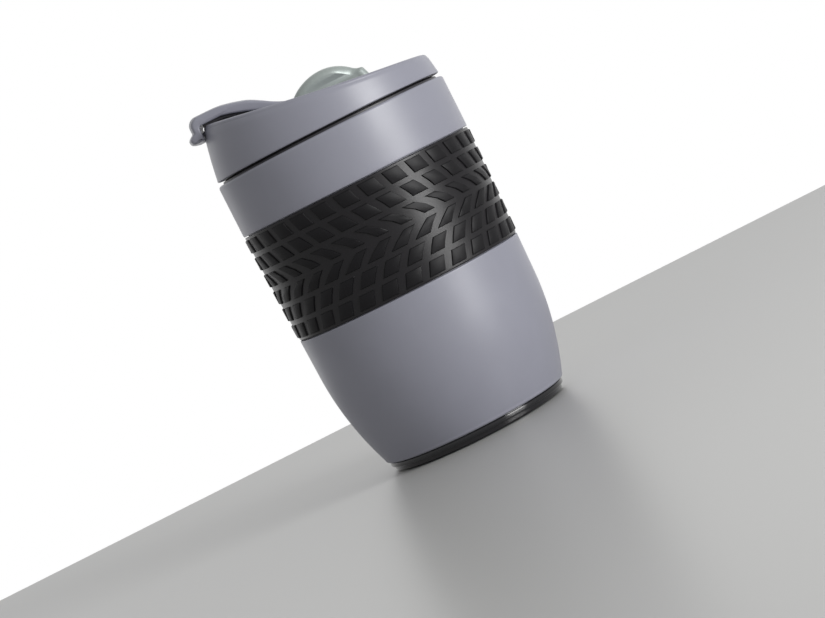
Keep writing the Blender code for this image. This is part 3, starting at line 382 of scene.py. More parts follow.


# %% [markdown]
# ## Finishes
# Seven finishes cover the mug: a matte grey polypropylene, the tread's silicone in two states (dull tops,
# and glossier grooves whose slightly lighter colour is a painted sheen), charcoal and glossy black mouldings,
# soft dark silicone for seals and the foot, a satin lacquer, and steel. One function builds them all from a
# few numbers. What is the same all over a surface is set on the shader's own socket. What changes over it
# comes through the groups.

# %% One function for every finish
def make_finish(name, color, roughness, dust_color=(0.55, 0.54, 0.52), metallic=0.0, grain=3000.0,
                grain_height=0.02 * MM, grain_strength=0.25, gloss=0.06, dust=0.05, scratches=0.0,
                specular=0.5, coat=0.0, coat_roughness=0.1, sheen=0.0, tone=0.06):
    material = bpy.data.materials.new(name)
    material.use_nodes = True
    tree = material.node_tree
    shader = tree.nodes["Principled BSDF"]
    grains = add_node(tree, "ShaderNodeGroup", node_tree=grain_group)
    marks = add_node(tree, "ShaderNodeGroup", node_tree=handling_group)
    for label, value in (("Grain per metre", grain), ("Height", grain_height), ("Strength", grain_strength)):
        feed(tree, grains.inputs[label], value)
    for label, value in (("Roughness", roughness), ("Gloss", gloss), ("Dust", dust)):
        feed(tree, marks.inputs[label], value)
    rough = marks.outputs["Roughness"]
    if scratches:
        hair = add_node(tree, "ShaderNodeGroup", node_tree=scratch_group)
        feed(tree, hair.inputs["Amount"], scratches)
        rough = add_math(tree, "ADD", rough, hair.outputs["Mask"])
    shade = add_node(tree, "ShaderNodeMix", {
        "A": (*[c * (1 - tone) for c in color], 1.0),
        "B": (*[min(1.0, c * (1 + tone)) for c in color], 1.0),
        "Factor": add_noise(tree, 60.0, 4.0)}, data_type="RGBA")
    dusty = add_node(tree, "ShaderNodeMix", {
        "A": shade.outputs["Result"], "B": (*dust_color, 1.0), "Factor": marks.outputs["Dust"]},
        data_type="RGBA")
    for label, value in (("Metallic", metallic), ("Specular IOR Level", specular), ("Coat Weight", coat),
                         ("Coat Roughness", coat_roughness), ("Sheen Weight", sheen),
                         ("Sheen Roughness", 0.4), ("Normal", grains.outputs["Normal"]),
                         ("Roughness", rough), ("Base Color", dusty.outputs["Result"])):
        feed(tree, shader.inputs[label], value)
    material.diffuse_color = (*color, 1.0)
    return material


# %% The mug's finishes
GREY = (0.285, 0.288, 0.342)
grey_plastic = make_finish("matte_grey_plastic", GREY, 0.43, grain=2600.0, grain_strength=0.2, dust=0.03,
                           specular=0.75)
lid_plastic = make_finish("matte_lid_plastic", GREY, 0.43, grain=2600.0, grain_strength=0.2, dust=0.03,
                          specular=0.75)
tread_top = make_finish("tread_silicone", (0.006, 0.0055, 0.007), 0.52, grain=2200.0, grain_strength=0.35,
                        gloss=0.08, dust=0.008, specular=0.3)
# the grooves are the same silicone as the tops: their slightly lighter colour is a painted sheen, and their
# lower roughness is real
groove_painted_sheen = make_finish("groove_silicone", (0.008, 0.007, 0.009), 0.36, grain=2200.0, grain_strength=0.2,
                           gloss=0.06, dust=0.012, specular=0.5)
charcoal = make_finish("charcoal_plastic", (0.040, 0.038, 0.043), 0.42, grain_strength=0.15)
gloss_black = make_finish("gloss_black_plastic", (0.010, 0.010, 0.012), 0.16, grain_strength=0.03, gloss=0.03,
                          dust=0.02, coat=0.5, scratches=0.05)
seal_silicone = make_finish("seal_silicone", (0.06, 0.06, 0.065), 0.5, grain_strength=0.1, sheen=0.1)
foot_rubber = make_finish("foot_rubber", (0.025, 0.025, 0.026), 0.8, grain=1500.0, grain_strength=0.5,
                          dust=0.1)
satin_silver = make_finish("satin_silver", (0.44, 0.49, 0.47), 0.46, metallic=0.35, grain=5000.0,
                           grain_height=0.008 * MM, grain_strength=0.18, scratches=0.06, gloss=0.05,
                           dust=0.02, tone=0.04)
steel = make_finish("drawn_steel", (0.56, 0.56, 0.57), 0.28, metallic=1.0, grain=4000.0,
                    grain_height=0.006 * MM, scratches=0.15, dust=0.0)
print("finishes:", len(bpy.data.materials))


# %% [markdown]
# ## Putting a piece in the frame
# Every piece gets its finish, the body it rides on, and the packed nodes that it hides. A imported node
# whose own shape is good enough keeps it and only gets a finish.

# %% Place a piece
def place(piece, material, body, slot, *nodes):
    if material:
        piece.data.materials.clear()
        piece.data.materials.append(material)
    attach(piece, body)
    if nodes:
        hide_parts(*nodes)
    print(f"{piece.name}: {len(piece.data.polygons)} faces, rides on {body}")


def repaint(node, material):
    mesh = frame["nodes"][node].data
    mesh.materials.clear()
    mesh.materials.append(material)


# %% [markdown]
# ## The barrel
# The outer wall is one injection moulding: a slight taper, a parabola for the rounded heel, a shallow
# recess for the sleeve, and a soft edge under the lid. A barrel's width is easiest to keep fair as a
# formula of its height, because the recess, the liner inside and the sleeve's grooves all follow it.

# %% The barrel's formula
TAPER = 0.028
STRAIGHT_TOP = 17.0 * MM
HEEL_HEIGHT = 35.0 * MM
HEEL_DROP = 6.2 * MM
HEEL_ROUND = 0.9 * MM
SHELL_WALL = 1.45 * MM
SEAT_GAP = 0.3 * MM
SLEEVE_PROUD = 0.35 * MM
SLEEVE_THICKNESS = 1.6 * MM


def barrel_radius(height):
    below_top = max(0.0, BARREL_TOP - STRAIGHT_TOP - height)
    heel = max(0.0, 1 - (height - BARREL_LOW) / HEEL_HEIGHT)
    return BARREL_RADIUS - TAPER * below_top - HEEL_DROP * heel ** 2


def seat_radius(height):
    return barrel_radius(height) + SLEEVE_PROUD - SLEEVE_THICKNESS - SEAT_GAP


# %% Turn the barrel
def build_barrel():
    low, high = SLEEVE_LOW - SEAT_GAP, SLEEVE_TOP + SEAT_GAP
    edge = 0.35 * MM
    heel = BARREL_LOW + HEEL_ROUND
    outside = arc((barrel_radius(heel) - HEEL_ROUND, heel), HEEL_ROUND, -90, 0, 8)
    outside += [(barrel_radius(z), z) for z in spread(heel + 0.4 * MM, low - 2 * edge, 48)]
    outside += arc((barrel_radius(low) - edge, low - edge), edge, 0, 90, 5)
    outside += [(seat_radius(z), z) for z in spread(low, high, 8)]
    outside += arc((barrel_radius(high) - edge, high + edge), edge, -90, 0, 5)
    outside += [(barrel_radius(z), z) for z in spread(high + 2 * edge, BARREL_TOP - 1.2 * MM, 12)]
    outside += arc((BARREL_RADIUS - 0.9 * MM, BARREL_TOP - 0.9 * MM), 0.9 * MM, 0, 90, 8)
    inside = [(BARREL_RADIUS - SHELL_WALL, BARREL_TOP), (BARREL_RADIUS - SHELL_WALL, SLEEVE_TOP + SHELL_WALL)]
    inside += [(seat_radius(z) - SHELL_WALL, z) for z in spread(SLEEVE_TOP, SLEEVE_LOW, 4)]
    inside += [(barrel_radius(z) - SHELL_WALL, z) for z in spread(BARREL_LOW + HEEL_HEIGHT, BARREL_LOW, 16)]
    return turned("barrel", outside + inside, segments=256)


place(build_barrel(), grey_plastic, "cup", "body_grey", "outer_shell")

# %% [markdown]
# ## The liner and the screw thread
# The drink touches a separate dark liner, with an air gap between it and the barrel. Its thick neck holds
# the female thread. A thread is a ridge on a helix, so it is a job for Geometry Nodes: a spiral curve is
# swept with a small section. The lid climbs 8 mm in a turn on a two-start thread, and every ridge has that
# same lead, so that the two threads stay in mesh while the lid turns.

# %% A Geometry Nodes tree that sweeps a ridge along a helix
def new_geometry_tree(name, inputs):
    tree = bpy.data.node_groups.new(name, "GeometryNodeTree")
    tree.interface.new_socket("Geometry", in_out="INPUT", socket_type="NodeSocketGeometry")
    sockets = {}
    for label, (kind, default) in inputs.items():
        socket = tree.interface.new_socket(label, in_out="INPUT", socket_type=kind)
        if default is not None:
            socket.default_value = default
        sockets[label] = socket.identifier
    tree.interface.new_socket("Geometry", in_out="OUTPUT", socket_type="NodeSocketGeometry")
    return tree, tree.nodes.new("NodeGroupInput"), tree.nodes.new("NodeGroupOutput"), sockets


def end_tree(tree, geometry, material, result):
    """Realize Instances and Set Material, the end of every tree."""
    realize = add_node(tree, "GeometryNodeRealizeInstances", {"Geometry": geometry})
    paint = add_node(tree, "GeometryNodeSetMaterial", {
        "Geometry": realize.outputs["Geometry"], "Material": material})
    tree.links.new(paint.outputs["Geometry"], result.inputs["Geometry"])


def build_ridge_tree():
    tree, given, result, sockets = new_geometry_tree("helical_ridge", {
        "Turns": ("NodeSocketFloat", 1.0), "Radius": ("NodeSocketFloat", 0.035),
        "Height": ("NodeSocketFloat", 0.008), "Ridge": ("NodeSocketFloat", 0.0008),
        "Start angle": ("NodeSocketFloat", 0.0), "Start height": ("NodeSocketFloat", 0.1),
        "Material": ("NodeSocketMaterial", None)})
    take = given.outputs
    spiral = add_node(tree, "GeometryNodeCurveSpiral", {
        "Resolution": 96, "Rotations": take["Turns"], "Start Radius": take["Radius"],
        "End Radius": take["Radius"], "Height": take["Height"]})
    section = add_node(tree, "GeometryNodeCurvePrimitiveCircle", {"Resolution": 10, "Radius": take["Ridge"]})
    sweep = add_node(tree, "GeometryNodeCurveToMesh", {
        "Curve": spiral.outputs["Curve"], "Profile Curve": section.outputs["Curve"], "Fill Caps": True})
    turn = add_node(tree, "ShaderNodeCombineXYZ", {"Z": take["Start angle"]})
    lift = add_node(tree, "ShaderNodeCombineXYZ", {"Z": take["Start height"]})
    move = add_node(tree, "GeometryNodeTransform", {
        "Geometry": sweep.outputs["Mesh"], "Rotation": turn.outputs["Vector"],
        "Translation": lift.outputs["Vector"]})
    end_tree(tree, move.outputs["Geometry"], take["Material"], result)
    return tree, sockets


ridge_tree, ridge_sockets = build_ridge_tree()


# %% Run a tree once and keep the mesh
def grow(name, tree, sockets, values, start_mesh=None):
    """Evaluate a Geometry Nodes tree with named values, and return its result as a plain object."""
    seed = bpy.data.objects.new(name, start_mesh or bpy.data.meshes.new(name))
    bpy.context.scene.collection.objects.link(seed)
    modifier = seed.modifiers.new(name, "NODES")
    modifier.node_group = tree
    for label, value in values.items():
        modifier[sockets[label]] = value
    return freeze(seed)


def join(name, objects):
    """Put several plain meshes into one object."""
    bm = bmesh.new()
    for obj in objects:
        bm.from_mesh(obj.data)
    mesh = bpy.data.meshes.new(name)
    bm.to_mesh(mesh)
    bm.free()
    for material in objects[0].data.materials:
        mesh.materials.append(material)
    for obj in objects:
        bpy.data.objects.remove(obj, do_unlink=True)
    joined = bpy.data.objects.new(name, mesh)
    bpy.context.scene.collection.objects.link(joined)
    mesh.shade_smooth()
    mesh.set_sharp_from_angle(angle=SMOOTH_ANGLE)
    return joined


# %% Both threads
LEAD = 8.0 * MM
THREAD_TURNS = 0.8
THREAD_LOW = 98.9 * MM
RIDGE = 0.85 * MM
NECK_WALL = 2.6 * MM
NECK_BORE = BARREL_RADIUS - SHELL_WALL - 2 * SEAT_GAP - NECK_WALL
PLUG_RADIUS = NECK_BORE - 2.0 * MM


def thread(name, radius, start_height, material):
    """Two ridges on opposite sides of the axis."""
    ridges = []
    for start in (0.0, math.pi):
        ridges.append(grow(f"{name}_{len(ridges)}", ridge_tree, ridge_sockets, {
            "Turns": THREAD_TURNS, "Radius": radius, "Height": LEAD * THREAD_TURNS, "Ridge": RIDGE,
            "Start angle": start, "Start height": start_height, "Material": material}))
    return join(name, ridges)


place(thread("neck_thread", NECK_BORE - 0.15 * MM, THREAD_LOW + LEAD / 4, charcoal), charcoal, "cup",
      "liner_black")
place(thread("plug_thread", PLUG_RADIUS + 0.15 * MM, THREAD_LOW, charcoal), charcoal, "lid", "liner_black")


# %% Turn the liner
LINER_STEP = 4.2 * MM
LINER_WALL = 1.6 * MM
LINER_CORNER = 7.0 * MM
NECK_HEIGHT = 15.0 * MM


def build_liner():
    neck_low = NECK_TOP - NECK_HEIGHT
    neck_radius = NECK_BORE + NECK_WALL
    corner_top = LINER_LOW + LINER_CORNER
    foot = barrel_radius(corner_top) - LINER_STEP - LINER_CORNER
    wall = spread(corner_top + 6 * MM, neck_low - 4 * MM, 20)
    outside = [(0.0, LINER_LOW), *arc((foot, corner_top), LINER_CORNER, -90, 0, 12)]
    outside += [(barrel_radius(z) - LINER_STEP, z) for z in wall]
    outside.append((neck_radius, neck_low))
    outside += arc((neck_radius - 0.4 * MM, NECK_TOP - 0.4 * MM), 0.4 * MM, 0, 90, 5)
    inside = [*arc((NECK_BORE + 0.4 * MM, NECK_TOP - 0.4 * MM), 0.4 * MM, 90, 180, 5), (NECK_BORE, neck_low)]
    inside += [(barrel_radius(z) - LINER_STEP - LINER_WALL, z) for z in reversed(wall)]
    inside += arc((foot, corner_top), LINER_CORNER - LINER_WALL, 0, -90, 12)
    inside.append((0.0, LINER_LOW + LINER_WALL))
    return turned("liner", outside + inside, segments=192)


place(build_liner(), charcoal, "cup", "liner_black", "inner_liner")

# %% [markdown]
# ## The tread sleeve
# The sleeve is the piece people notice: six rows of slanted blocks, in which the upper three rows lean one
# way and the lower three the other, so that they meet as chevrons. Modelling 180 blocks by hand would be
# slow and never quite even. Here one small rounded block is drawn in a unit square, and a Geometry Nodes
# tree copies it once for each place in a row, then bends each copy onto the cylinder. The tree's inputs are
# the row's heights, and how far its top and bottom edges are shifted round the sleeve and how wide they are.

# %% One unit block: rounded edges, sloped flanks and a flat base
TREAD_DEPTH = 0.5 * MM


def unit_block(name, flank=0.035, shoulder=0.085):
    """A block in the unit square, its height from 0 to 1, with its base a little below the surface."""
    stops = [0.0, flank, shoulder, 0.5, 1 - shoulder, 1 - flank, 1.0]
    levels = [0.0, 0.78, 1.0, 1.0, 1.0, 0.78, 0.0]
    bm = bmesh.new()
    grid = []
    for v, level_v in zip(stops, levels):
        grid.append([bm.verts.new((u, v, min(level_u, level_v))) for u, level_u in zip(stops, levels)])
    last = len(stops) - 1
    for row in range(last):
        for column in range(last):
            bm.faces.new((grid[row][column], grid[row][column + 1],
                          grid[row + 1][column + 1], grid[row + 1][column]))
    border = grid[0][:] + [grid[i][last] for i in range(1, last + 1)]
    border += grid[last][last - 1::-1] + [grid[i][0] for i in range(last - 1, 0, -1)]
    sunk = [bm.verts.new((vert.co.x, vert.co.y, -0.25)) for vert in border]
    bridge(bm, border, sunk)
    bm.faces.new(sunk)
    bmesh.ops.recalc_face_normals(bm, faces=bm.faces)
    mesh = bpy.data.meshes.new(name)
    bm.to_mesh(mesh)
    bm.free()
    return mesh


# %% A Geometry Nodes tree for one row of blocks
def build_tread_tree():
    tree, given, result, sockets = new_geometry_tree("tread_row", {
        "Blocks": ("NodeSocketInt", 30),
        "Top": ("NodeSocketFloat", 0.09), "Bottom": ("NodeSocketFloat", 0.085),
        "Top shift": ("NodeSocketFloat", 0.0), "Bottom shift": ("NodeSocketFloat", 0.3),
        "Top share": ("NodeSocketFloat", 0.7), "Bottom share": ("NodeSocketFloat", 0.7),
        "Bow": ("NodeSocketFloat", 0.0), "Depth": ("NodeSocketFloat", 0.0006),
        "Top radius": ("NodeSocketFloat", 0.0415), "Bottom radius": ("NodeSocketFloat", 0.0412),
        "Material": ("NodeSocketMaterial", None)})
    take = given.outputs

    def value(operation, first, second=0.0):
        return add_math(tree, operation, first, second)

    def blend(start, end, share):
        return value("ADD", start, value("MULTIPLY", value("SUBTRACT", end, start), share))

    line = add_node(tree, "GeometryNodeMeshLine", {"Count": take["Blocks"], "Offset": (0.0, 0.0, 0.0)})
    number = add_node(tree, "GeometryNodeInputIndex")
    keep = add_node(tree, "GeometryNodeStoreNamedAttribute", {
        "Geometry": line.outputs["Mesh"], "Name": "column", "Value": number.outputs["Index"]},
        data_type="FLOAT")
    copy = add_node(tree, "GeometryNodeInstanceOnPoints", {
        "Points": keep.outputs["Geometry"], "Instance": take["Geometry"]})
    realize = add_node(tree, "GeometryNodeRealizeInstances", {"Geometry": copy.outputs["Instances"]})
    column = add_node(tree, "GeometryNodeInputNamedAttribute", {"Name": "column"}, data_type="FLOAT")
    where = add_node(tree, "GeometryNodeInputPosition")
    split = add_node(tree, "ShaderNodeSeparateXYZ", {"Vector": where.outputs["Position"]})
    u, v, w = split.outputs
    shift = blend(take["Top shift"], take["Bottom shift"], v)
    bow = value("MULTIPLY", take["Bow"], value("MULTIPLY", v, value("SUBTRACT", 1.0, v)))
    place_round = value("ADD", value("ADD", column.outputs["Attribute"], value("ADD", shift, bow)),
                        value("MULTIPLY", u, blend(take["Top share"], take["Bottom share"], v)))
    angle = value("MULTIPLY", place_round, value("DIVIDE", math.tau, take["Blocks"]))
    radius = value("ADD", blend(take["Top radius"], take["Bottom radius"], v),
                   value("MULTIPLY", w, take["Depth"]))
    join_up = add_node(tree, "ShaderNodeCombineXYZ", {
        "X": value("MULTIPLY", radius, value("SINE", angle)),
        "Y": value("MULTIPLY", radius, value("MULTIPLY", value("COSINE", angle), -1.0)),
        "Z": blend(take["Top"], take["Bottom"], v)})
    wrap = add_node(tree, "GeometryNodeSetPosition", {
        "Geometry": realize.outputs["Geometry"], "Position": join_up.outputs["Vector"]})
    end_tree(tree, wrap.outputs["Geometry"], take["Material"], result)
    return tree, sockets


tread_tree, tread_sockets = build_tread_tree()

# %% Grow the six rows
BLOCKS = 30
BORDER = 0.9 * MM
ROW_GAP = 1.6 * MM
# for each row, from the top: shifts of its top and bottom edges and their widths, as shares of the pitch,
# and how far its slanted edges bow
TREAD_ROWS = ((-0.04, 0.155, 0.70, 0.72, 0.0), (0.34, 0.68, 0.65, 0.72, 0.1), (0.075, 0.79, 0.53, 0.50, 0.35),
              (0.80, 0.01, 0.47, 0.68, -0.2), (0.67, 0.29, 0.66, 0.64, -0.1), (0.11, -0.13, 0.67, 0.70, 0.0))


def groove_radius(height):
    return barrel_radius(height) + SLEEVE_PROUD - TREAD_DEPTH


def build_tread():
    count = len(TREAD_ROWS)
    row_height = (SLEEVE_TOP - SLEEVE_LOW - 2 * BORDER - (count - 1) * ROW_GAP) / count
    rows = []
    for top_shift, bottom_shift, top_share, bottom_share, bow in TREAD_ROWS:
        top = SLEEVE_TOP - BORDER - len(rows) * (row_height + ROW_GAP)
        rows.append(grow(f"tread_row_{len(rows)}", tread_tree, tread_sockets, {
            "Blocks": BLOCKS, "Top": top, "Bottom": top - row_height, "Top shift": top_shift,
            "Bottom shift": bottom_shift, "Top share": top_share, "Bottom share": bottom_share,
            "Bow": bow, "Depth": TREAD_DEPTH,
            "Top radius": groove_radius(top), "Bottom radius": groove_radius(top - row_height),
            "Material": tread_top}, unit_block(f"tread_block_{len(rows)}")))
    return join("tread_blocks", rows)


def build_sleeve_body():
    """The sleeve under its blocks: a plain ring with soft lips."""
    lip = 0.35 * MM
    high, low = SLEEVE_TOP, SLEEVE_LOW
    outside = arc((groove_radius(low) - lip, low + lip), lip, -90, 0, 5)
    outside += [(groove_radius(z), z) for z in spread(low + 2 * lip, high - 2 * lip, 24)]
    outside += arc((groove_radius(high) - lip, high - lip), lip, 0, 90, 5)
    inside = [(seat_radius(z) + SEAT_GAP, z) for z in spread(high, low, 6)]
    return turned("sleeve_body", outside + inside, segments=256)


place(build_tread(), tread_top, "cup", "sleeve_silicone")
place(build_sleeve_body(), groove_painted_sheen, "cup", "sleeve_silicone", "grip_sleeve")

# %% [markdown]
# ## The base and the foot
# A glossy black cap snaps into the bottom of the barrel. Only its two stepped ridges show, and they are
# what catches the thin lines of light along the table. The foot pad is a soft disc with moulded rings.

# %% Turn the base cap and the foot pad
BASE_LIP = 0.7 * MM
BASE_STEP = 1.0 * MM
BASE_COLLAR = 5.0 * MM
FOOT_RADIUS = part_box("foot_pad")[1].x
FOOT_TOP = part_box("foot_pad")[1].z
CAP_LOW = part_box("base_cap")[0].z


def build_base_cap():
    edge = barrel_radius(BARREL_LOW) - BASE_LIP
    collar = barrel_radius(BARREL_LOW) - SHELL_WALL - SEAT_GAP
    inner = collar - SHELL_WALL
    shoulder = BARREL_LOW - SEAT_GAP
    seat = FOOT_TOP + SEAT_GAP - CAP_LOW
    middle = mix(CAP_LOW, shoulder, 0.5)
    step = edge - BASE_STEP
    low_round = 0.45 * MM
    profile = [(0.0, seat), (FOOT_RADIUS + SEAT_GAP, seat), (FOOT_RADIUS + SEAT_GAP, CAP_LOW)]
    profile += arc((step - low_round, CAP_LOW + low_round), low_round, -90, 0, 5)
    profile += arc((step + 0.15 * MM, middle - 0.2 * MM), 0.15 * MM, 180, 90, 3)
    profile += arc((edge - low_round, middle + low_round - 0.05 * MM), low_round, -90, 0, 5)
    profile += arc((edge - 0.2 * MM, shoulder - 0.2 * MM), 0.2 * MM, 0, 90, 4)
    profile += [(collar, shoulder), (collar, shoulder + BASE_COLLAR), (inner, shoulder + BASE_COLLAR),
                (inner, seat + SHELL_WALL), (0.0, seat + SHELL_WALL)]
    return turned("base_ring", profile, segments=256)


def build_foot():
    """A disc with shallow rings cut in its underside."""
    groove = 0.35 * MM
    profile = [(0.0, 0.0)]
    radius = 6.0 * MM
    while radius < FOOT_RADIUS - 3 * MM:
        profile += [(radius, 0.0), (radius + 0.3 * MM, groove),
                    (radius + 1.1 * MM, groove), (radius + 1.4 * MM, 0.0)]
        radius += 4.0 * MM
    profile += arc((FOOT_RADIUS - 0.3 * MM, 0.3 * MM), 0.3 * MM, -90, 0, 4)
    profile += [(FOOT_RADIUS, FOOT_TOP), (0.0, FOOT_TOP)]
    return turned("foot_disc", profile, segments=128)


place(build_base_cap(), gloss_black, "cup", "base_gloss", "base_cap")
place(build_foot(), foot_rubber, "cup", "foot_rubber", "foot_pad")

# %% [markdown]
# ## The lid
# The lid's wall leans in a little and its rim is cut by a long shallow curve, high at the spout and low at
# the back. So its profile changes with direction. The same spun mesh is built, but each of its radial
# sections is worked out for its own angle: the rim's radius is where the leaning wall meets the curve.

# %% The lid's surfaces as formulas
SKIRT_DRAFT, SKIRT_CURVE = 0.13, 3.9
DECK_RISE, DISH_DEPTH, DISH_TILT, DECK_WALL = 5.95 * MM, 5.4 * MM, 0.03, 1.7 * MM
RIM_MID, RIM_SLOPE, RIM_SAG = LID_LOW + DECK_RISE + DISH_DEPTH, -0.150, 1.2
LID_WALL = 2.0 * MM
EDGE_ROUND = 1.1 * MM


def rim_height(x):
    return RIM_MID + RIM_SLOPE * x + RIM_SAG * x * x


def deck_height(x):
    return rim_height(x) - DISH_DEPTH + DISH_TILT * x


def skirt_radius(height):
    rise = height - LID_LOW
    return LID_RADIUS - SKIRT_DRAFT * rise - SKIRT_CURVE * rise * rise


def rim_radius(angle):
    radius = LID_RADIUS
    for _ in range(8):
        radius = skirt_radius(rim_height(radius * math.cos(angle)))
    return radius


# %% One radial section of the lid
def lid_section(angle):
    """Points up the outside, over the rim and in to the middle, then back under the deck."""
    cosine = math.cos(angle)
    outer = rim_radius(angle)
    crest = rim_height(outer * cosine)
    low_round = 0.4 * MM
    points = arc((LID_RADIUS - low_round, LID_LOW + low_round), low_round, -90, 0, 4)
    points += [(skirt_radius(z), z) for z in spread(LID_LOW + 1.0 * MM, crest - 1.4 * EDGE_ROUND, 8)]
    points += arc((outer - EDGE_ROUND, crest - EDGE_ROUND), EDGE_ROUND, 0, 90, 8)
    inner = outer - LID_WALL - 0.4 * MM
    top = rim_height(inner * cosine)
    points += arc((inner + 0.1 * MM, top - 0.5 * MM), 0.5 * MM, 90, 180, 5)
    wall = inner - 1.0 * MM
    floor = deck_height(wall * cosine)
    points += arc((wall - 0.9 * MM, floor + 1.2 * MM), 1.2 * MM, -10, -90, 6)
    points += [(wall * s, deck_height(wall * s * cosine)) for s in spread(0.92, 0.06, 14)]
    under = [(wall * s, deck_height(wall * s * cosine) - DECK_WALL) for s in spread(0.06, 0.92, 10)]
    under += [(outer - LID_WALL - 0.8 * MM, deck_height((outer - LID_WALL) * cosine) - DECK_WALL),
              (LID_RADIUS - LID_WALL, PLUG_TOP + SEAT_GAP), (LID_RADIUS - LID_WALL, LID_LOW)]
    return points, under


# %% Build the lid's shell, with its lugs, snap bead and holes
LID_SEGMENTS = 224
LUG_INNER = ARM_HALF_WIDTH + 0.5 * MM
LUG_THICKNESS = 2.4 * MM
KNUCKLE = 2.4 * MM
BORE = PIN_RADIUS + 0.22 * MM
SPOUT_X = (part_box("spout_stopper")[0].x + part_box("spout_stopper")[1].x) / 2
VENT_X = (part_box("vent_stopper")[0].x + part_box("vent_stopper")[1].x) / 2
SPOUT_RADIUS, VENT_RADIUS = 5.6 * MM, 1.4 * MM


def spun_lid():
    bm = bmesh.new()
    sections = []
    for i in range(LID_SEGMENTS):
        angle = math.tau * i / LID_SEGMENTS
        sections.append([[bm.verts.new((r * math.cos(angle), r * math.sin(angle), z)) for r, z in part]
                         for part in lid_section(angle)])
    top_pole = bm.verts.new((0.0, 0.0, deck_height(0.0)))
    under_pole = bm.verts.new((0.0, 0.0, deck_height(0.0) - DECK_WALL))
    for here, there in zip(sections, sections[1:] + sections[:1]):
        for side, next_side in zip(here, there):
            for a, b, c, d in zip(side, side[1:], next_side[1:], next_side):
                bm.faces.new((a, d, c, b))
        bm.faces.new((here[0][-1], there[0][-1], top_pole))
        bm.faces.new((here[1][0], there[1][0], under_pole))
        bm.faces.new((here[0][0], there[0][0], there[1][-1], here[1][-1]))
    return finish_mesh(bm, "lid_shell")


def hinge_lug(side):
    """A rounded ear with a soft foot, one each side of the arm."""
    foot = deck_height(PIN_X) - DECK_WALL / 2
    outline = arc((PIN_X, PIN_Z), KNUCKLE, 180, 0, 24)
    outline += [(PIN_X + KNUCKLE + 0.5 * MM, PIN_Z - 1.6 * MM), (PIN_X + KNUCKLE + 1.2 * MM, foot),
                (PIN_X - KNUCKLE - 1.2 * MM, foot), (PIN_X - KNUCKLE - 0.5 * MM, PIN_Z - 1.6 * MM)]
    middle = side * (LUG_INNER + LUG_THICKNESS / 2)
    return slab(f"lug_{side}", outline, LUG_THICKNESS / 2, edge_round=0.35 * MM, round_steps=4,
                shape=lambda x, y, z: (x, y + middle, z))


def build_lid():
    lid = spun_lid()
    bead_z = rim_height(-rim_radius(math.pi)) - 2.3 * MM
    bead = rod("bead", -skirt_radius(bead_z) + 0.45 * MM, bead_z, -4.5 * MM, 4.5 * MM, 0.8 * MM,
               chamfer=0.3 * MM)
    combine(lid, [hinge_lug(-1), hinge_lug(1), bead], "UNION")
    deck = deck_height(SPOUT_X)
    holes = [rod("spout_hole", SPOUT_X, 0, deck - 9 * MM, deck + 4 * MM, SPOUT_RADIUS, axis="Z", segments=96),
             rod("vent_hole", VENT_X, 0, deck - 9 * MM, deck + 4 * MM, VENT_RADIUS, axis="Z"),
             rod("pin_hole", PIN_X, PIN_Z, -20 * MM, 20 * MM, BORE)]
    return combine(lid, holes, "DIFFERENCE")


place(build_lid(), lid_plastic, "lid", "lid_grey", "lid_cover")

# %% Turn the plug under the lid, and its seal
PLUG_WALL = 1.8 * MM
FLANGE = 1.0 * MM


def build_plug():
    flange = LID_RADIUS - LID_WALL - SEAT_GAP
    low = PLUG_TOP - FLANGE
    profile = [(0.0, PLUG_LOW), *arc((PLUG_RADIUS - 1 * MM, PLUG_LOW + 1 * MM), 1 * MM, -90, 0, 6),
               (PLUG_RADIUS, low), *arc((flange - 0.2 * MM, low + 0.2 * MM), 0.2 * MM, -90, 0, 3),
               (flange, PLUG_TOP),
               (PLUG_RADIUS - PLUG_WALL, PLUG_TOP), (PLUG_RADIUS - PLUG_WALL, PLUG_LOW + PLUG_WALL),
               (0.0, PLUG_LOW + PLUG_WALL)]
    plug = turned("screw_plug", profile)
    holes = [rod("flow", SPOUT_X + 6 * MM, 0, PLUG_LOW - 3 * MM, PLUG_LOW + 5 * MM, 5.0 * MM, axis="Z",
                 segments=96),
             rod("air", 22 * MM, 0, PLUG_LOW - 3 * MM, PLUG_LOW + 5 * MM, 1.6 * MM, axis="Z")]
    return combine(plug, holes, "DIFFERENCE")


def build_seal():
    """A wiper seal: two soft ribs on a thin band."""
    low, top = (corner.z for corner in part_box("plug_seal"))
    inner, outer = PLUG_RADIUS + SEAT_GAP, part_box("plug_seal")[1].x
    band = mix(inner, outer, 0.55)
    rib = outer - band
    profile = [(inner, low), (band, low)]
    profile += arc((band, low + 0.7 * MM), rib, -80, 80, 8)
    profile += arc((band, low + 1.9 * MM), rib, -80, 80, 8)
    profile += [(band, top), (inner, top)]
    return turned("neck_seal", profile)


place(build_plug(), charcoal, "lid", "liner_black", "lid_plug")
place(build_seal(), seal_silicone, "lid_seal", "seal_silicone", "plug_seal")

# %% [markdown]
# ## The flip arm
# Seen from the side, the arm is a soft hook: a knuckle at the pin, a back that rises in one S-curve, a flat
# top and a finger tab with a lip. It is a moulded slab, crowned across its top and curled round the lid at
# its tip. A fork is cut in its heel for the button.

# %% The arm's side view
ARM_THICKNESS = 3.3 * MM
FLAT_END = SPOUT_X - 2.0 * MM
WEB_END = PIN_X - 16.6 * MM
TIP_SHARE = 0.86
TAB_THICKNESS, TAB_LIP, TAB_DROP, TAB_ROUND = 2.4 * MM, 2.0 * MM, 8.5 * MM, 3.2 * MM
CROWN = 1.0 * MM
TAB_INNER = -skirt_radius(ARM_TOP - TAB_DROP) - 0.65 * MM
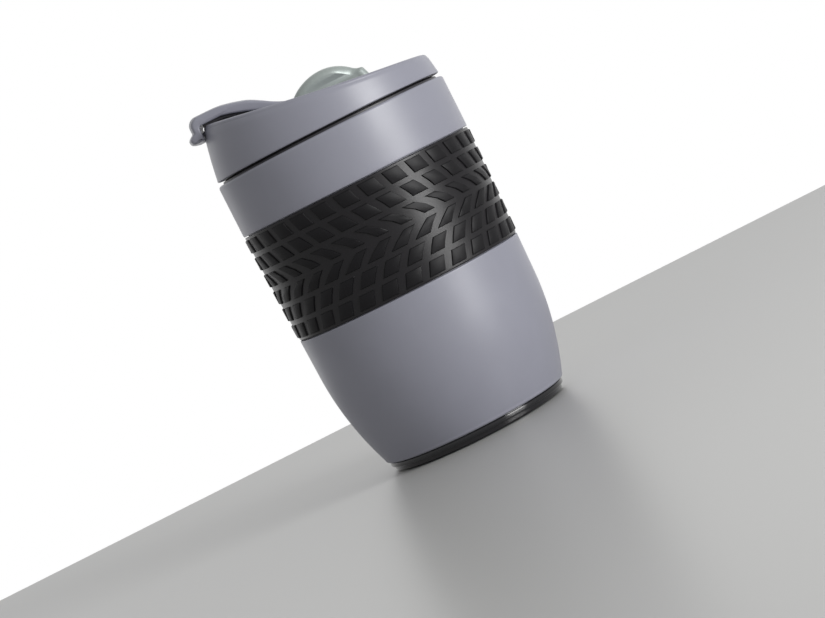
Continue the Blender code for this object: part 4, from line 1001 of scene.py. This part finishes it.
# points of the arm's back and belly, as shares of the way from the pin to the end of the flat top
ARM_BACK = ((0.09, 0.17), (0.21, 0.23), (0.33, 0.31), (0.46, 0.42), (0.55, 0.53), (0.65, 0.68),
            (0.75, 0.81), (0.85, 0.89), (0.95, 0.95), (1.06, 0.99))
ARM_BELLY = ((0.95, 0.72), (0.84, 0.63), (0.74, 0.53), (0.60, 0.37), (0.53, 0.29), (0.45, 0.22),
             (0.29, 0.11), (0.14, -0.04))


def arm_point(shares):
    return mix(PIN_X, FLAT_END, shares[0]), mix(PIN_Z, ARM_TOP, shares[1])


def arm_outline():
    waist, lip = TAB_INNER - TAB_THICKNESS, TAB_INNER - TAB_THICKNESS - TAB_LIP
    foot, under = ARM_TOP - TAB_DROP, ARM_TOP - ARM_THICKNESS
    back = smooth_path([arm_point(p) for p in ARM_BACK] + [(waist + 4.2 * MM, ARM_TOP)], 6)
    shoulder = arc((waist + TAB_ROUND, ARM_TOP - TAB_ROUND), TAB_ROUND, 90, 180, 14)
    tab = smooth_path([(waist, foot + 4.4 * MM), (waist - 0.1 * MM, foot + 3.6 * MM),
                       (lip + 0.5 * MM, foot + 2.5 * MM), (lip, foot + 1.6 * MM),
                       (lip + 0.4 * MM, foot + 0.4 * MM), (lip + 1.6 * MM, foot)], 5)
    throat = arc((TAB_INNER - 0.5 * MM, foot + 0.5 * MM), 0.5 * MM, -90, 0, 5)
    throat += arc((TAB_INNER + 0.9 * MM, under - 0.9 * MM), 0.9 * MM, 180, 90, 6)
    belly = smooth_path([(FLAT_END - 1.5 * MM, under)] + [arm_point(p) for p in ARM_BELLY], 6)
    knuckle = arc((PIN_X, PIN_Z), KNUCKLE, 215, 450, 28)
    return back + shoulder + tab + throat + belly + knuckle


def arm_shape(x, y, z):
    y = y * mix(1.0, TIP_SHARE, ease(-x, -WEB_END, -FLAT_END + 8 * MM))
    z = z - CROWN * (abs(y) / ARM_HALF_WIDTH) ** 2 * ease(z, PIN_Z + 4 * MM, ARM_TOP)
    curl = LID_RADIUS - math.sqrt(LID_RADIUS ** 2 - y * y)
    return x + curl * ease(-x, -FLAT_END, -FLAT_END + 8 * MM), y, z


# %% Build the arm
BUTTON_HALF, BUTTON_ROUND = 7.6 * MM, 3.4 * MM
FORK_HALF = BUTTON_HALF + 0.5 * MM
PLATE_X, PLATE_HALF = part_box("arm_underplate")[0].x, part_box("arm_underplate")[1].y


def build_arm():
    arm = slab("arm_shell", arm_outline(), ARM_HALF_WIDTH, edge_round=0.9 * MM, round_steps=8, stations=17,
               shape=arm_shape)
    fork = box_block("fork", (WEB_END, -FORK_HALF, PIN_Z - 10 * MM),
                     (PIN_X + 10 * MM, FORK_HALF, ARM_TOP + 5 * MM))
    bore = rod("arm_bore", PIN_X, PIN_Z, -20 * MM, 20 * MM, BORE)
    pocket = slab("plate_pocket", plate_outline(SEAT_GAP), PLATE_HALF + SEAT_GAP)
    return combine(arm, [fork, bore, pocket], "DIFFERENCE")


def belly_path(start):
    """The arm's belly in side view, from a given place towards the pin."""
    under = ARM_TOP - ARM_THICKNESS
    flat = [(start, under), (FLAT_END - 1.5 * MM, under)]
    return smooth_path(flat + [arm_point(p) for p in ARM_BELLY[:5]], 6)


def plate_outline(margin):
    """Side view of the plate let into the arm's belly. margin grows it for its pocket."""
    path = belly_path(PLATE_X)
    path[0] = (path[0][0] - margin, path[0][1])
    path[-1] = (path[-1][0] + margin, path[-1][1] - margin * 0.4)
    lower = [(x, z - (2.0 * MM if margin else 0.0)) for x, z in path]
    upper = [(x, z + 1.1 * MM + margin) for x, z in path]
    return lower + upper[::-1]


place(build_arm(), lid_plastic, "arm", "lid_grey", "flip_arm")
plate = slab("arm_plate", plate_outline(0.0), PLATE_HALF, edge_round=0.2 * MM, round_steps=3)
place(plate, charcoal, "arm", "liner_black", "arm_underplate")


# %% A dark rim under the plate, as painted shade
def build_shade_rim():
    """A thin dark rim round the plate's front and sides: painted shade that fills the gap above the lid's
    crest.
    """
    wall, drop, gap, reach = 1.0 * MM, 1.5 * MM, 0.05 * MM, 1.2 * MM
    path = belly_path(PLATE_X - reach)
    outline = [(x, z - drop) for x, z in path] + [(x, z - gap) for x, z in reversed(path)]
    rim = slab("plate_seal_rim", outline, PLATE_HALF, edge_round=0.2 * MM, round_steps=3)
    room = box_block("rim_room", (PLATE_X - reach + wall, wall - PLATE_HALF, PIN_Z - 10 * MM),
                     (PIN_X, PLATE_HALF - wall, ARM_TOP))
    return combine(rim, [room], "DIFFERENCE")


# painted shade: a dark rim that fills the shaded gap under the arm, not a real seal
place(build_shade_rim(), charcoal, "arm", "liner_black")

# %% [markdown]
# ## Stoppers
# Two soft plugs hang from the arm. The large one closes the spout and the small one the vent. Each is
# turned about its own upright axis, then moved to its hole in mesh space, so its object stays at the origin.

# %% Turn the stoppers
def build_stopper(name, node, x, hole_radius, stem_radius):
    low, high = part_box(node)
    reach = hole_radius - 0.45 * MM
    collar = deck_height(x) + abs(RIM_SLOPE) * (hole_radius + 2 * MM) + 1.0 * MM
    flare = high.x - x
    rounding = min(0.5 * MM, reach * 0.4)
    profile = [(0.0, low.z), (reach * 0.7, low.z)]
    profile += arc((reach - rounding, low.z + rounding + 0.2 * MM), rounding, -60, 0, 5)
    profile += [(reach, collar - 0.6 * MM), (flare, collar)]
    profile += arc((flare - 0.3 * MM, collar + 0.4 * MM), 0.3 * MM, 0, 80, 4)
    profile += [(stem_radius, collar + 1.1 * MM), (stem_radius, high.z), (0.0, high.z)]
    stopper = turned(name, profile, segments=96)
    for vert in stopper.data.vertices:
        vert.co.x += x
    return stopper


place(build_stopper("spout_plug", "spout_stopper", SPOUT_X, SPOUT_RADIUS, 3.0 * MM), seal_silicone, "arm",
      "seal_silicone", "spout_stopper")
place(build_stopper("vent_plug", "vent_stopper", VENT_X, VENT_RADIUS, 0.8 * MM), seal_silicone, "arm",
      "seal_silicone", "vent_stopper")

# %% [markdown]
# ## The thumb button
# The button is a satin dome with a small ledge for the thumb. From above it is not a plain bar: the dome
# swells in the middle, draws in before the ledge and flares again at the heel, which leaves a shallow
# scoop on each side. That plan is one more formula, used as the slab's bending function.

# %% The button's shape
cap_low, cap_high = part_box("button_cap")
HUMP_X, HUMP_PEAK, HUMP_FLOOR = 5.7 * MM, cap_high.z, cap_low.z
NOSE_X, HEEL_X = cap_low.x, cap_high.x
BACK_RADIUS, FRONT_RADIUS = 17.8 * MM, 15.0 * MM
LEDGE_FOOT, LEDGE, LEDGE_BACK = PIN_Z + 5.9 * MM, PIN_Z + 5.0 * MM, 2.5 * MM
NOSE_NARROW, WAIST_DEPTH, WAIST_X, WAIST_LENGTH = 0.2, 0.25, PIN_X + 7.8 * MM, 3.4 * MM
SKIN = 1.1 * MM


def hump_outline(skin=0.0):
    """Nose, round hump, thumb ledge and sloping heel, drawn in by the skin."""
    nose, heel = NOSE_X + skin, HEEL_X - skin
    back, front = BACK_RADIUS - skin, FRONT_RADIUS - skin
    start = 90 + math.degrees(math.asin((HUMP_X - nose) / back))
    end = math.degrees(math.asin((LEDGE_FOOT - skin - HUMP_PEAK + FRONT_RADIUS) / front))
    hump = arc((HUMP_X, HUMP_PEAK - BACK_RADIUS), back, start, 90, 28)
    hump += arc((HUMP_X, HUMP_PEAK - FRONT_RADIUS), front, 90, end, 24)[1:]
    ledge = (heel - LEDGE_BACK, LEDGE - skin)
    dip = (mix(hump[-1][0], ledge[0], 0.5), mix(hump[-1][1], ledge[1], 0.72))
    tail = smooth_path([hump[-1], dip, ledge], 4)[1:]
    tail += [(ledge[0] + 0.35 * MM, ledge[1] - 0.2 * MM), (ledge[0] + 0.6 * MM, ledge[1] - 0.6 * MM)]
    return [(nose, HUMP_FLOOR)] + hump + tail + [(heel, HUMP_FLOOR)]


def hump_narrow(outline, distance):
    share = 1 - distance / FRONT_RADIUS
    return [(mix(HUMP_X, x, share), mix(HUMP_FLOOR, z, share)) for x, z in outline]


def hump_plan(x, y, z):
    """Narrow the nose and draw in the waist before the ledge."""
    nose = max(0.0, (HUMP_X - x) / (HUMP_X - NOSE_X))
    waist = math.exp(-((x - WAIST_X) / WAIST_LENGTH) ** 2)
    return x, y * (1 - NOSE_NARROW * nose ** 2) * (1 - WAIST_DEPTH * waist), z


def build_button():
    cap = slab("thumb_cap", hump_outline(), BUTTON_HALF, edge_round=BUTTON_ROUND, round_steps=12, stations=9,
               shape=hump_plan, narrow=hump_narrow)
    hollow = hump_outline(SKIN)
    hollow += [(hollow[-1][0], HUMP_FLOOR - 3 * MM), (hollow[0][0], HUMP_FLOOR - 3 * MM)]
    helpers = [slab("cap_hollow", hollow, BUTTON_HALF - SKIN, edge_round=BUTTON_ROUND, stations=9,
                    shape=hump_plan, narrow=hump_narrow),
               rod("cap_bore", PIN_X, PIN_Z, -20 * MM, 20 * MM, BORE),
               box_block("toe_notch", (NOSE_X - 3 * MM, -4.3 * MM, HUMP_FLOOR - 3 * MM),
                         (NOSE_X + 3 * MM, 4.3 * MM, PIN_Z + 1.55 * MM))]
    return combine(cap, helpers, "DIFFERENCE")


def build_frame():
    """The dark frame inside the dome: it turns on the pin, and its toe reaches under the arm."""
    skin = SKIN + SEAT_GAP
    reach = BUTTON_HALF - skin
    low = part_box("button_carrier")[0]
    frame_body = slab("button_frame", hump_outline(skin), reach - 1.4 * MM, edge_round=2.2 * MM, stations=9,
                      shape=hump_plan, narrow=hump_narrow)
    toe = box_block("frame_toe", (low.x, -4 * MM, PIN_Z - 0.05 * MM),
                    (NOSE_X + skin + 3 * MM, 4 * MM, PIN_Z + 1.25 * MM))
    knuckle = rod("frame_knuckle", PIN_X, PIN_Z, -reach, reach, KNUCKLE)
    frame_body = combine(frame_body, [knuckle, toe], "UNION")
    spring_low, spring_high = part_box("button_spring")
    pocket = box_block("spring_pocket", (spring_low.x - SEAT_GAP, spring_low.y - SEAT_GAP, PIN_Z - 6 * MM),
                       (spring_high.x + SEAT_GAP, spring_high.y + SEAT_GAP, spring_high.z + SEAT_GAP))
    bore = rod("frame_bore", PIN_X, PIN_Z, -20 * MM, 20 * MM, BORE)
    return combine(frame_body, [bore, pocket], "DIFFERENCE")


place(build_button(), satin_silver, "button", "satin_silver", "button_cap")
place(build_frame(), charcoal, "button", "carrier_black", "button_carrier")
repaint("button_spring", steel)
pin_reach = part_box("hinge_pin")[1].y
pin = rod("pin", PIN_X, PIN_Z, -pin_reach, pin_reach, PIN_RADIUS, chamfer=0.25 * MM)
place(pin, steel, "lid", "pin_steel", "hinge_pin")

# %% [markdown]
# ## Floor, light and camera
# The floor is a plain pale sheet and the room is almost white, so the mug's own shape does the work. One
# large soft panel stands in front to the right, which gives the long soft highlight on the barrel. The
# camera stands at the mug's height, a little above its middle, and is rolled, so that the mug leans.

# %% Floor
def build_floor():
    """A table top that ends a hand's width behind the mug, so that its far edge is seen against the light."""
    bm = bmesh.new()
    outline = ((-1.2, -1.4, 0), (1.2, -1.4, 0), (1.2, 0.235, 0), (-1.2, 0.235, 0))
    corners = [bm.verts.new(point) for point in outline]
    bm.faces.new(corners)
    floor = finish_mesh(bm, "floor")
    material = bpy.data.materials.new("pale_floor")
    material.use_nodes = True
    shader = material.node_tree.nodes["Principled BSDF"]
    shader.inputs["Base Color"].default_value = (0.50, 0.50, 0.49, 1.0)
    shader.inputs["Roughness"].default_value = 0.35
    floor.data.materials.append(material)


build_floor()


# %% A room that is bright behind the mug and dim in front of it
def build_room(behind, around):
    world = bpy.data.worlds.new("room")
    world.use_nodes = True
    tree = world.node_tree
    back = tree.nodes["Background"]
    direction = add_node(tree, "ShaderNodeTexCoord")
    split = add_node(tree, "ShaderNodeSeparateXYZ", {"Vector": direction.outputs["Generated"]})
    strength = add_range(tree, split.outputs["Y"], 0.55, 0.85, around, behind)
    tree.links.new(strength, back.inputs["Strength"])
    back.inputs["Color"].default_value = (1.0, 1.0, 1.0, 1.0)
    bpy.context.scene.world = world


def add_panel(name, place_at, aim_at, size, power):
    data = bpy.data.lights.new(name, "AREA")
    data.shape = "RECTANGLE"
    data.size, data.size_y = size
    data.energy = power
    panel = bpy.data.objects.new(name, data)
    panel.location = place_at
    panel.rotation_euler = (Vector(aim_at) - Vector(place_at)).to_track_quat("-Z", "Y").to_euler()
    bpy.context.scene.collection.objects.link(panel)


MIDDLE = (0.0, 0.0, 0.07)
build_room(behind=1.0, around=0.40)
add_panel("key_panel", (0.60, -0.53, 0.25), MIDDLE, (0.36, 0.50), 4.9)
bpy.context.scene.view_settings.view_transform = "Standard"

# %% Camera
CAMERA_DISTANCE = 0.795
CAMERA_HEIGHT = 0.0906
LENS = 105.2
PITCH_DOWN = 3.25
ROLL = -26.75
ASIDE = -2.1 * MM

camera_data = bpy.data.cameras.new("camera")
camera_data.lens = LENS
camera_data.sensor_width = 36.0
camera_data.clip_start = 0.01
camera = bpy.data.objects.new("camera", camera_data)
camera.location = (ASIDE, -CAMERA_DISTANCE, CAMERA_HEIGHT)
look = Euler((math.radians(90 - PITCH_DOWN), 0.0, 0.0)).to_matrix()
camera.rotation_euler = (look @ Euler((0.0, 0.0, math.radians(ROLL))).to_matrix()).to_euler()
bpy.context.scene.collection.objects.link(camera)
bpy.context.scene.camera = camera
